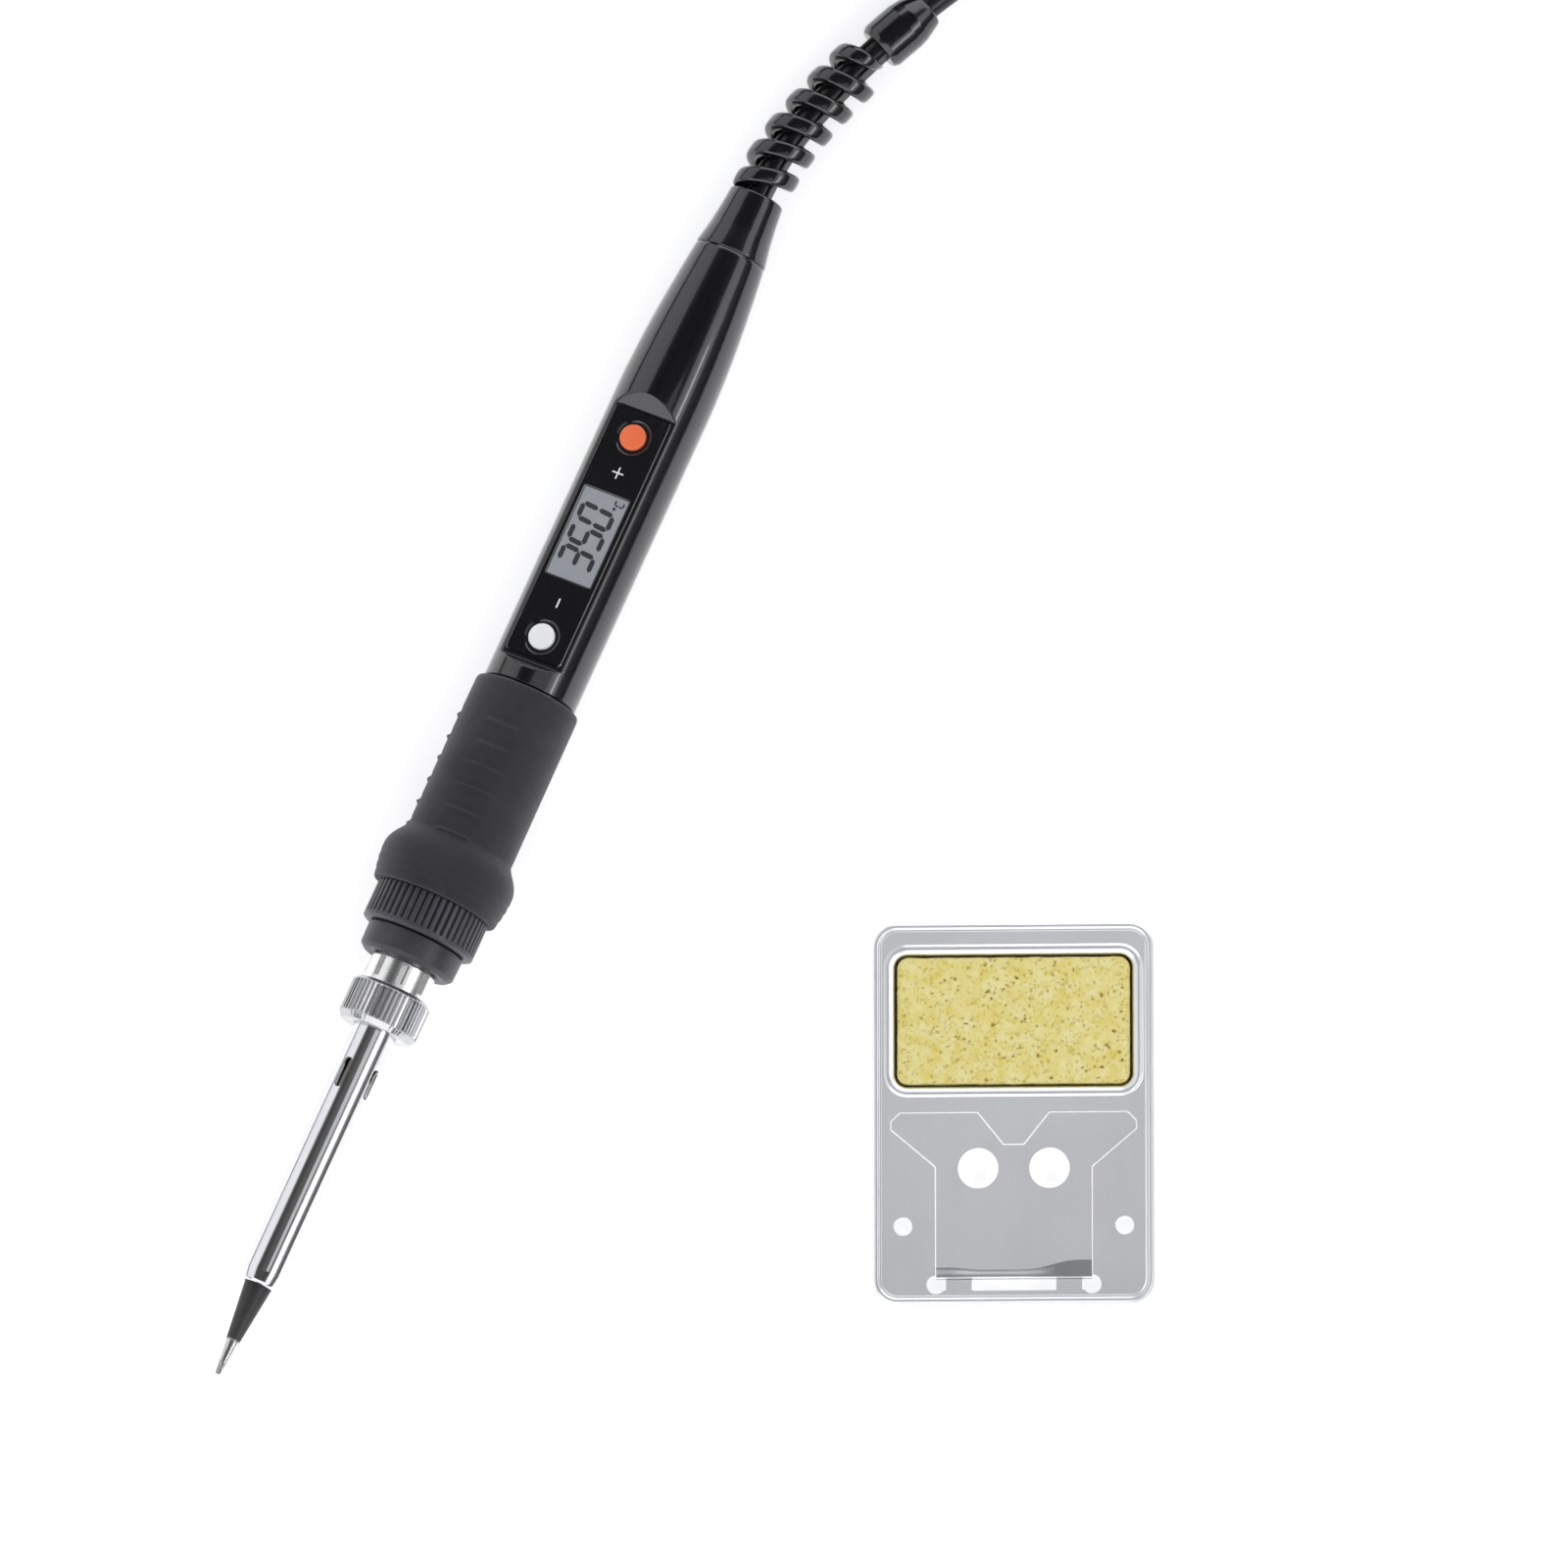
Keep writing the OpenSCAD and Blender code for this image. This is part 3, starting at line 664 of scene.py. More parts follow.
def coilPoints():
    cx, cy = lead["coilAt"]
    spots = lead["turns"]
    startAngle = math.degrees(math.atan2(leadRoute[-1][1] - cy, leadRoute[-1][0] - cx))
    out = []
    step = 6
    total = int(360 * (len(spots) - 1 + lead["lastTurn"]))
    for turned in range(step, total, step):
        k, part = divmod(turned, 360)
        r, z = spots[k]
        if k + 1 < len(spots) and part > 360 - lead["swap"]:
            t = smoothStep(360 - lead["swap"], 360, part)
            nextR, nextZ = spots[k + 1]
            r += (nextR - r) * t
            z += (nextZ - z) * t
        out.append((*polar(r, startAngle + turned, cx, cy), z))
    return out


def makeLead():
    inRelief = [tailAxes @ (reliefAt(l)[0] * mm) / mm for l in (0.2, 6, 12, 18, 24, 30, 36, 42)]
    points = smoothCurve([*inRelief, *leadRoute, *coilPoints(), *plugRoute], 2.5)
    curve = bpy.data.curves.new("mains_lead", "CURVE")
    curve.dimensions = "3D"
    curve.bevel_depth = lead["across"] / 2 * mm
    curve.bevel_resolution = 4
    curve.use_fill_caps = True
    line = curve.splines.new("POLY")
    line.points.add(len(points) - 1)
    for spot, p in zip(line.points, points):
        spot.co = (*(p * mm), 1)
    print("lead is %.3f m long" % sum((b - a).length * mm for a, b in zip(points, points[1:])))
    piece = addPiece("mains_lead", curve, looks["cord"], "iron", Matrix(),
                     ("power_cord", "cord_coil", "plug_lead"))
    return piece, points[0] * mm


def makeTie():
    # a hook-and-loop strap around the bundle of turns
    x = lead["coilAt"][0] - 30
    y = lead["coilAt"][1]
    wide, thick = 4.6, 0.75
    half = [(-7.6, 0.9), (-7.9, 4), (-7.4, 9.4), (-5.6, 13.2), (-2, 14.5), (2, 14.3), (5.8, 12.6), (7.5, 8.6),
            (7.9, 4), (7.4, 0.9), (4, 0.55), (-4, 0.55)]
    path = [Vector((x + u, y, z)) for u, z in half]
    path = smoothCurve([*path, path[0]], 1.2)[:-1]
    bm = bmesh.new()
    loops = []
    for i, p in enumerate(path):
        ahead = (path[(i + 1) % len(path)] - path[i - 1]).normalized()
        out = ahead.cross(Vector((0, 1, 0))).normalized()
        if out.dot(p - Vector((x, y, 7))) < 0:
            out.negate()
        loops.append([p + Vector((0, v * wide / 2, 0)) + out * (w * thick) for v, w in
                      ((-1, 0.15), (-0.94, 0), (0.94, 0), (1, 0.15), (1, 0.7), (0.93, 0.85), (-0.93, 0.85), (-1, 0.7))])
    skin(bm, loops)
    tail = [Vector((x + u, y, z)) for u, z in ((-2, 15.2), (2, 15.15), (6, 13.6), (8.2, 11))]
    sweep(smoothCurve(tail, 1), [(-2.1, -0.25), (2.1, -0.25), (2.1, 0.25), (-2.1, 0.25)], bm)
    return addPiece("lead_strap", bm, looks["tie"], "iron", Matrix(), ("cord_tie",))


plug = {
    "at": (6, 207.8, 6.85),
    "guard": 14,
    "length": 36,
    "rounding": 1.6,
    "thick": 13.7,
    "wide": 35.3,
    "pinApart": 18.6,
    "pinLong": 19,
    "pinAcross": 4.0,
}


def makePlug():
    axes = Matrix.Translation(Vector(plug["at"]) * mm) @ Matrix.Rotation(math.pi, 4, "Z")
    alongX = Matrix.Rotation(math.pi / 2, 4, "Y")
    guard, edge, half = plug["guard"], plug["rounding"], plug["thick"] / 2
    end, side = guard + plug["length"], plug["wide"] / 2 - 0.2
    outline = leftTurning(filleted([
        (guard, 5.6, 0), (20, 9.4, 6), (26, 12.4, 5), (30, 16.6, 5), (end, side, 1.2), (end, -side, 1.2),
        (30, -16.6, 5), (26, -12.4, 5), (20, -9.4, 6), (guard, -5.6, 0),
    ], 6))
    rounded = [(edge - x, z) for x, z in (polar(edge, a) for a in range(0, 91, 15))]
    bm = bmesh.new()
    loops = [atHeight(inset(outline, d), edge - half - z) for d, z in reversed(rounded)]
    loops.append(atHeight(outline, half - edge))
    loops += [atHeight(inset(outline, d), half - edge + z) for d, z in rounded[1:]]
    flatEnded(bm, loops)
    ridge = [(0.8 * x, 0.42 * y) for x, y in circle(1, around=10)]
    for face in (-1, 1):  # finger ridges on both faces
        for k in range(5):
            bar = [(27 + k * 3.2, y, face * (half - 0.18)) for y in (-8, -7, -3, 3, 7, 8)]
            sweep(bar, ridge, bm)
    body = addPiece("plug_moulding", bm, looks["plug"], "iron", axes, ("plug_body",))

    outline = [(0, 0)]
    for k in range(45):
        x = guard * k / 44
        slot = 0.75 if 1.5 < x < 12.5 and x % 2.6 < 1.1 else 0
        outline.append((3.3 + 2.1 * smoothStep(0, guard, x) - slot, x))
    bm = lathe([*outline, (0, guard)], 40)
    bm.transform(alongX)
    boot = addPiece("plug_cord_guard", bm, looks["plug"], "iron", axes, ("plug_relief",), 40)

    r = plug["pinAcross"] / 2
    start = end - 0.5
    tip = start + plug["pinLong"] + 0.4
    pinLine = filleted([(0, start, 0), (r, start, 0), (r, tip, 1.2), (0, tip, 0)], 5)
    sleeveEnd = start + 10
    sleeveLine = filleted([(1.7, start, 0), (2.04, start, 0), (2.04, sleeveEnd, 0.15), (1.7, sleeveEnd, 0)], 2)
    pins, sleeves = bmesh.new(), bmesh.new()
    for across in (-1, 1):
        at = Matrix.Translation((0, across * plug["pinApart"] / 2, 0)) @ alongX
        merge(pins, lathe(pinLine, 32), at)
        merge(sleeves, lathe(sleeveLine, 32), at)
    prongs = addPiece("plug_prongs", pins, looks["pin"], "iron", axes, ("plug_pins",))
    roots = addPiece("plug_pin_sleeves", sleeves, looks["plug"], "iron", axes)
    return [body, boot, prongs, roots]


leadPiece, leadStart = makeLead()
tiePiece = makeTie()
plugPieces = makePlug()
print("lead, strap and plug made")


# ---- hot end

hotEnd = {
    "tipOut": 18.0,
    "barrel": 4.1,
    "slotAt": 60.4,
    "slotTurns": (-12, 78, 168, 258),
    "slotLong": 6.0,
    "slotWide": 1.7,
    "nut": 7.7,
    "knurls": 50,
}


def makeTip():
    out = hotEnd["tipOut"]
    outline = filleted([
        (0, 0, 0), (0.52, 0, 0.2), (0.86, 2.4, 2), (1.24, 6.6, 0.6), (1.34, 6.95, 0.1), (2.62, out - 0.1, 1),
        (2.65, out + 1.35, 0), (3.3, out + 1.35, 0.2), (3.3, 44, 0.3), (2.05, 44, 0.2), (2.05, 25, 0), (0, 23.8, 0),
    ], 4)
    bm = lathe(subdivided(outline, 2), 64)
    for v in bm.verts:  # the point is ground to a small slanting flat
        if v.co.z < 3.4:
            v.co.y = min(max(v.co.y, -0.2 - v.co.z * 0.24), 0.25 + v.co.z * 0.2)
    addPiece("tip", bm, looks["tip"], "hot_end", ironAxes, ("soldering_tip",), 50)


def makeBarrel():
    out, r = hotEnd["tipOut"], hotEnd["barrel"]
    outline = filleted([
        (2.78, out + 0.15, 0.3), (3.05, out - 0.02, 0.3), (3.62, out + 0.35, 0.8), (r, out + 2.5, 1.6), (r, 73.1, 0.2),
        (5.9, 73.1, 0.2), (5.9, 73.9, 0.2), (r - 0.5, 73.9, 0.1), (r - 0.5, out + 1.3, 0.2), (2.78, out + 1.3, 0.1),
    ], 5)
    tube = makeMesh("barrel", lathe(outline, 128), 32)
    cutters = bmesh.new()
    slotR = hotEnd["slotWide"] / 2
    half = hotEnd["slotLong"] / 2 - slotR
    slot = [polar(slotR, start + 15 * k, 0, y) for y, start in ((half, 0), (-half, 180)) for k in range(13)]
    for turn in hotEnd["slotTurns"]:
        at = (Matrix.Translation((0, 0, hotEnd["slotAt"])) @ Matrix.Rotation(math.radians(turn), 4, "Z")
              @ Matrix.Rotation(math.pi / 2, 4, "X"))
        merge(cutters, plate(slot, low=2.5, high=7, edge=0.01), at)
    shape = cutAway(tube, makeMesh("slots", cutters))
    addPiece("barrel", shape, looks["chrome"], "hot_end", ironAxes, ("barrel_tube",))


def cutAway(mesh, cutter):
    # subtracts cutter from mesh and returns the finished mesh
    tool = bpy.data.objects.new("tool", cutter)
    bpy.context.scene.collection.objects.link(tool)
    result = modified(mesh, "BOOLEAN", operation="DIFFERENCE", object=tool, solver="EXACT")
    bpy.data.objects.remove(tool)
    bm = bmesh.new()
    bm.from_mesh(result)
    for f in bm.faces:
        f.smooth = True
    for e in bm.edges:
        e.smooth = not (len(e.link_faces) == 2 and e.calc_face_angle(0) > math.radians(30))
    bm.to_mesh(result)
    bm.free()
    return result


def makeTipNut():
    r, count = hotEnd["nut"], hotEnd["knurls"]

    def knurl(rad, s, a):
        if rad < r - 1.0:
            return rad
        return rad - 0.42 * band(s, 71.1, 71.6, 77.3, 77.9) * smoothStep(0.25, 0.95, zigzag(a, count))

    outline = filleted([
        (4.22, 70.15, 0.2), (6.2, 70.0, 0.5), (6.9, 70.1, 0.4), (r, 71.3, 0.25), (r, 77.6, 0.25), (r - 0.8, 78.4, 0.3),
        (6.5, 78.4, 0.2), (6.5, 72.9, 0), (4.22, 72.9, 0),
    ], 5)
    rise = next(p for p, q in zip(outline, outline[1:]) if q[1] - p[1] > 3)  # where the knurled face starts
    fine = refined(outline, {rise: [(r, s) for s in (71.6, 72.0, 74.5, 77, 77.3, 77.5)]})
    addPiece("tip_nut", lathe(fine, count * 8, knurl), looks["knurl"], "tip_nut", ironAxes,
             ("retaining_nut",), 24)


def makeNipple():
    r = 6.3

    def notched(rad, s, a):
        if rad < r - 0.3:
            return rad
        return rad - 1.3 * band(a / (2 * math.pi) * 8 % 1, 0.36, 0.40, 0.60, 0.64) * band(s, 79.2, 79.4, 82.9, 83.1)

    outline = filleted([
        (4.5, 74.1, 0), (6.1, 74.1, 0.2), (6.4, 74.4, 0.1), (6.4, 78.45, 0), (r, 78.5, 0), (r, 81.0, 0),
        (r, 83.5, 0.25), (5.5, 83.55, 0), (5.5, 86.5, 0), (4.5, 86.5, 0),
    ], 3)
    fine = refined(outline, {(r, 78.5): [(r, s) for s in (79.2, 79.3, 79.4, 80.2)],
                             (r, 81.0): [(r, s) for s in (82, 82.9, 83.0, 83.1)]})
    addPiece("nipple", lathe(fine, 200, notched), looks["nipple"], "iron", ironAxes,
             ("threaded_nipple",), 30)


makeTip()
makeBarrel()
makeTipNut()
makeNipple()
print("hot end made")


# ---- handle

handle = {
    "radius": 9.15,
    "flat": 6.6,  # height of the flat under the display, from the axis
    "flatFrom": 144.4,
    "rampFrom": 142.5,
    "flatTo": 196.1,
    "rampTo": 199.4,
    "ribs": 50,
    "gripRidges": (108.3, 112.8, 117.4, 121.9, 126.2, 130.8),
    "ridgeTurns": (8, -82, -172),  # degrees from the display's side
}
displaySide = -math.pi / 2


def makeCollar():
    outline = filleted([
        (5.6, 83.9, 0.3), (8.3, 83.65, 0.5), (9.3, 84.5, 0.5), (9.4, 88.7, 0.25), (5.9, 88.8, 0), (5.9, 98.9, 0.2),
        (4.5, 98.9, 0), (4.5, 86.7, 0), (5.6, 86.65, 0),
    ], 5)
    addPiece("front_ring", lathe(outline, 128), looks["collar"], "iron", ironAxes, ("front_collar",))


def makeHandleNut():
    r = 10.98

    def ribbed(rad, s, a):
        if rad < 10.2:
            return rad
        return rad - 0.62 * smoothStep(89.7, 90.3, s) * smoothStep(0.5, 0.92, zigzag(a, handle["ribs"]))

    outline = filleted([
        (6.05, 88.95, 0.1), (10.2, 88.92, 0.3), (10.95, 89.35, 0.3), (r, 89.6, 0), (r, 96.45, 0.1),
        (8.15, 96.45, 0), (8.15, 90.1, 0), (6.05, 90.1, 0),
    ], 4)
    fine = refined(outline, {(r, 89.6): [(r, s) for s in (89.75, 89.9, 90.1, 90.3, 93)]})
    addPiece("ribbed_nut", lathe(fine, handle["ribs"] * 10, ribbed), looks["ribbed"], "grip_nut",
             ironAxes, ("handle_nut",), 38)


def makeGrip():
    def moulded(rad, s, a):
        if rad < 9.6:
            return rad
        out = rad
        patch = 0
        for turn in handle["ridgeTurns"]:
            away = abs(awayFrom(a, displaySide + math.radians(turn)))
            patch = max(patch, 1 - smoothStep(0.27, 0.36, away))
        for ridge in handle["gripRidges"]:
            out += 0.42 * patch * math.exp(-((s - ridge) / 0.26) ** 2)
            out -= 0.10 * patch * math.exp(-((s - ridge - 0.9) / 0.5) ** 2)
        for ring in (98.2, 99.8, 101.4):
            out -= 0.14 * math.exp(-((s - ring) / 0.28) ** 2)
        return out

    outline = [(8.92, 96.62), (11.7, 96.62), (12.05, 96.7), (12.25, 97.0), (12.33, 97.4)]
    outline += [(12.33 + 0.71 * math.sin(min(1, (s - 97.4) / 5.2) * math.pi / 2), s)
                for s in (97.6 + 0.25 * k for k in range(22))]
    outline += [(13.02, 103.3), (12.95, 103.8), (12.8, 104.4), (12.5, 105.1), (12.1, 105.8), (11.6, 106.5),
                (11.15, 107.1), (10.8, 107.6), (10.58, 108.0)]
    outline += [(10.42 - 0.17 * (s - 108.3) / 30, s) for s in (108.3 + 0.28 * k for k in range(107))]
    outline += [(10.22, 138.4), (10.15, 138.8), (9.95, 139.1), (9.6, 139.3), (8.92, 139.3)]
    addPiece("grip", lathe(outline, 180, moulded), looks["grip"], "iron", ironAxes, ("rubber_grip",), 40)


def makeHandle():
    fullR = handle["radius"]

    def faced(rad, s, a):
        if rad < 7.0 or s < 142:
            return rad
        away = awayFrom(a, displaySide)
        if abs(away) > 1.2:
            return rad
        d = handle["flat"]
        if s < handle["flatFrom"]:
            d += (fullR + 0.3 - d) * (handle["flatFrom"] - s) / (handle["flatFrom"] - handle["rampFrom"])
        if s > handle["flatTo"]:
            d += (fullR + 0.3 - d) * (s - handle["flatTo"]) / (handle["rampTo"] - handle["flatTo"])
        return softMin(rad, d / math.cos(away), 0.22)

    outline = [(8, 90.3), (8, 96.7), (8.9, 96.7), (8.9, 139.5), (fullR - 0.15, 139.6), (fullR, 139.9)]
    outline += [(fullR, 142.2 + 0.1 * k) for k in range(26)]
    outline += [(fullR, 145 + 5 * k) for k in range(11)]
    outline += [(fullR, 195.8 + 0.15 * k) for k in range(28)]
    outline += [(fullR, 201)]
    outline += [(9.12, 203.4), (9.03, 205.8), (8.92, 208.6), (8.76, 211.6), (8.55, 214.6), (8.3, 217.6), (8.0, 220.8),
                (7.65, 224.2), (7.28, 227.6), (7.0, 229.9), (6.93, 230.5), (6.8, 230.75)]
    outline += [(5.5, 230.75), (5.5, 224), (6.4, 216), (6.6, 208), (6.6, 201), (6.0, 196), (6.0, 146), (7.4, 140),
                (7.4, 99.5), (6, 99.5), (6, 90.3)]  # back down the inside
    addPiece("handle_shell", lathe(outline, 240, faced), looks["handle"], "iron", ironAxes,
             ("handle_body",), 26)


def makeBoot():
    outline = filleted([
        (0, 230.85, 0), (6.75, 230.85, 0.25), (6.95, 231.3, 0.3), (6.62, 233.0, 3), (6.12, 235.6, 4), (5.72, 238.6, 4),
        (5.42, 241.4, 2), (5.3, 243.2, 0.5), (3.4, 243.2, 0.3), (3.4, 242.2, 0.2), (0, 242.2, 0),
    ], 4)
    addPiece("tail_cover", lathe(outline, 96), looks["boot"], "iron", tailAxes, ("tail_boot",))


def makeRelief():
    # a flattened strand wound round the lead, on thin ribs, with a plain collar at the end
    bm = bmesh.new()
    thick, wide = relief["strandThick"], relief["strandWide"]
    ringR = relief["across"] / 2 - thick
    perTurn = 48
    start, stop = relief["turns"]
    steps = int((stop - start) * perTurn)
    boxy = [[math.copysign(abs(v) ** 0.6, v) for v in point] for point in circle(1, around=24)]
    loops = []
    for i in range(steps + 1):
        turn = start + i / perTurn
        a = 2 * math.pi * turn
        p, side, ahead = reliefAt(relief["first"] + relief["pitch"] * turn + 0.55 * math.cos(a))
        out = side * math.cos(a) + Vector((0, 1, 0)) * math.sin(a)
        grow = smoothStep(0, 0.35, turn - start) * smoothStep(0, 0.3, stop - turn)
        loop = []
        for c, s in boxy:
            loop.append(p + out * (ringR * (0.6 + 0.4 * grow) + c * thick * (0.35 + 0.65 * grow))
                        + ahead * (s * wide * (0.3 + 0.7 * grow)))
        loops.append(loop)
    cappedSkin(bm, loops)
    rib = [(0.5 * x, 0.4 * y) for x, y in circle(1, around=8)]
    for turn in (45, 135, 225, 315):
        x, y = polar(1, turn)
        line = []
        for i in range(39):
            p, side, _ = reliefAt(i - 0.6)
            line.append(p + (side * x + Vector((0, y, 0))) * 2.7)
        sweep(line, rib, bm, (x, y, 0.01))
    addPiece("spiral_relief", bm, looks["boot"], "iron", tailAxes, ("strain_relief",), 50)

    first, narrow, last = relief["collar"]
    outline = filleted([(2.6, first, 0), (4.3, first, 0.6), (4.85, first + 1.2, 0.8), (4.88, narrow - 2, 3),
                        (4.6, narrow, 3), (3.5, last - 0.3, 0.8), (2.6, last, 0.2)], 5)
    collar = lathe(subdivided(outline, 1.2), 64)
    for v in collar.verts:  # follows the bend
        p, side, _ = reliefAt(v.co.z)
        v.co = p + side * v.co.x + Vector((0, v.co.y, 0))
    addPiece("relief_collar", collar, looks["boot"], "iron", tailAxes)


makeCollar()
makeHandleNut()
makeGrip()
makeHandle()
makeBoot()
makeRelief()
print("handle made")


# ---- display and keys: drawn flat, then stood on the iron's face

display = {
    "wide": 11.6,
    "from": 145.0,
    "to": 195.9,
    "top": 6.85,
    "screen": (161.1, 179.2),
    "screenWide": 9.4,
    "marks": (156.4, 183.4),
    "keys": (("minus_key", 149.4, "minus_button", "key_white", "white"),
             ("plus_key", 190.7, "plus_button", "key_orange", "orange")),
    "keyR": 2.5,
    "digitTall": 6.4,
    "digitWide": 3.0,
    "stroke": 0.95,
    "lean": 0.10,
}


def standOnFace(bm):
    # drawn x stays x, drawn y becomes the distance along the iron, drawn z the height above the axis
    for v in bm.verts:
        x, y, z = v.co
        v.co = (x, -z, y)
    return bm


def makePanel():
    s0, s1, top = display["from"], display["to"], display["top"]
    outer = roundedRect(display["wide"], s1 - s0, 0.9, 5, 0, (s0 + s1) / 2)
    a, b = display["screen"]
    window = roundedRect(display["screenWide"], b - a, 0.3, 3, 0, (a + b) / 2)
    holes = [window]
    r = display["keyR"]
    for _, at, *_ in display["keys"]:
        holes.append([(circle(rad, 0, at), z) for rad, z in (
            (3.5, top), (3.38, top - 0.03), (3.1, top - 0.24), (3.0, top - 0.28), (r + 0.25, top - 0.29),
            (r + 0.12, top - 0.4), (r + 0.12, 6.05))])
    bm = plate(outer, holes, 6.3, top, 0.2)
    addPiece("display_bezel", standOnFace(bm), looks["panel"], "iron", ironAxes, ("display_panel",))


def litScreen():
    def paint(wire, place):
        cloud = speckle(wire, place, 60.0)
        cell = speckle(wire, place, 9000.0, 1.0)
        return {
            "Base Color": (cloud.clamped(0.3, 0.7) * 0.7 + cell * 0.3).between((0.33, 0.345, 0.37), (0.39, 0.41, 0.44)),
            "Roughness": 0.24 + cell * 0.1,
            "Height": (0.000003, cell),
        }
    return newMaterial("grey liquid crystal", {"IOR": 1.5, "Coat Weight": 0.6, "Coat Roughness": 0.05}, paint)


segmentsOf = {"3": "abgcd", "5": "afgcd", "0": "abcdef", "C": "afed"}


def digitPolygons(text, at, tall, wide, stroke, lean):
    # seven-segment strokes; at is the lower left corner, in reading axes
    x0, y0 = at
    h = stroke / 2
    gap = stroke * 0.1
    spots = {
        "a": ((0, tall), (wide, tall)), "g": ((0, tall / 2), (wide, tall / 2)), "d": ((0, 0), (wide, 0)),
        "f": ((0, tall / 2), (0, tall)), "b": ((wide, tall / 2), (wide, tall)),
        "e": ((0, 0), (0, tall / 2)), "c": ((wide, 0), (wide, tall / 2)),
    }
    out = []
    for key in segmentsOf[text]:
        (ax, ay), (bx, by) = spots[key]
        length = math.hypot(bx - ax, by - ay)
        dx, dy = (bx - ax) / length, (by - ay) / length
        shape = []
        for along, off in ((gap, 0), (gap + h, -h), (length - gap - h, -h), (length - gap, 0),
                           (length - gap - h, h), (gap + h, h)):
            px = ax + dx * along - dy * off
            py = ay + dy * along + dx * off
            shape.append((x0 + px + py * lean, y0 + py))
        out.append(shape)
    return out


def makeScreen():
    a, b = display["screen"]
    middle = (a + b) / 2
    bm = plate(roundedRect(9.3, b - a - 0.1, 0.2, 3, 0, middle), low=6.06, high=6.62, edge=0.06)
    plate(roundedRect(8.4, b - a - 0.1, 0.2, 3, 0, middle), low=4.0, high=6.07, edge=0.02, bm=bm)
    standOnFace(bm)
    addPiece("lcd_glass", bm, litScreen(), "iron", ironAxes, ("lcd_module",))

    polygons = []
    tall, wide, stroke, lean = (display[k] for k in ("digitTall", "digitWide", "stroke", "lean"))
    for k, text in enumerate("350"):
        polygons += digitPolygons(text, (a + 2.6 + k * 4.35, -tall / 2 + 0.3), tall, wide, stroke, lean)
    polygons += digitPolygons("C", (b - 1.75, -3.9), 1.7, 1.0, 0.34, 0.05)
    polygons.append(circle(0.32, b - 2.4, -2.4, 14))
    bm = bmesh.new()
    for shape in polygons:
        # reading runs along the iron, and the digits' feet are on the right
        plate(leftTurning([(-y, x) for x, y in shape]), low=6.61, high=6.645, edge=0.008, bm=bm)
    addPiece("lcd_digits", standOnFace(bm), looks["dark"], "iron", ironAxes)


def makeMarks():
    top = display["top"]
    minusAt, plusAt = display["marks"]
    printed = {"low": top - 0.02, "high": top + 0.025, "edge": 0.01}
    bm = plate(roundedRect(0.32, 1.9, 0.1, 3, 0.2, minusAt), **printed)
    arm, half = 1.15, 0.14
    cross = [(half, half), (half, arm), (-half, arm), (-half, half), (-arm, half), (-arm, -half), (-half, -half),
             (-half, -arm), (half, -arm), (half, -half), (arm, -half), (arm, half)]
    plate([(x + 0.2, y + plusAt) for x, y in cross], bm=bm, **printed)
    addPiece("key_marks", standOnFace(bm), looks["print"], "iron", ironAxes)


def makeKeys():
    r = display["keyR"]
    for body, at, node, slot, look in display["keys"]:
        outline = filleted([
            (0, 5.3, 0), (3.0, 5.3, 0.1), (3.0, 5.85, 0.1), (r, 5.9, 0.1), (r, 7.28, 0.32), (r - 0.35, 7.45, 0.3),
            (0, 7.52, 0),
        ], 4)
        bm = lathe(outline, 64)
        for v in bm.verts:  # turned about its own axis, which then stands out of the face
            x, y, z = v.co
            v.co = (x, -z, at + y)
        addPiece(node.replace("button", "key"), bm, looks[look], body, ironAxes, (node,))


makePanel()
makeScreen()
makeMarks()
makeKeys()
print("display made")


# ---- stand: pressed sheet, rest and sponge, drawn from the middle of the plate

stand = {
    "wide": 52.6,
    "long": 71.8,
    "high": 4.0,
    "sheet": 0.5,
    "corner": 4.8,
    "wellWide": 44.0,
    "wellLong": 24.6,
    "wellY": 17.3,
    "wellCorner": 2.4,
    "wellFloor": 1.2,
    "holes": (1.7, 20.5, -21.1),  # radius and place of the two screw holes
    "hinge": (-30.2, 3.2),
    "roll": 0.8,
    "tabX": 10.2,
    "tabWide": 4.8,
    "slotLow": -33.1,
}


def openingLoop():
    # the line cut around the rest, counter-clockwise, with its round relief corners and the two tabs
    right = [polar(1.75, -141 + 224.4 * k / 14, 14.4, -32) for k in range(15)]
    tab, half = stand["tabX"], stand["tabWide"] / 2
    low, tabTop = stand["slotLow"], -31.2
    base = [(tab - half, low), (tab - half, tabTop), (tab + half, tabTop), (tab + half, low)]
    upper = [(14.6, -10.1), (22.8, -3.12), (22.8, -1.5), (21.15, 0.2), (6.6, 0.2), (1.86, -5.8)]
    loop = [(x, y, 0.25) for x, y in base] + [(x, y, 0) for x, y in right]
    loop += [(x, y, 0.5) for x, y in upper]
    mirrored = [(-x, y, r) for x, y, r in reversed(loop)]
    return filleted(loop + mirrored, 4)


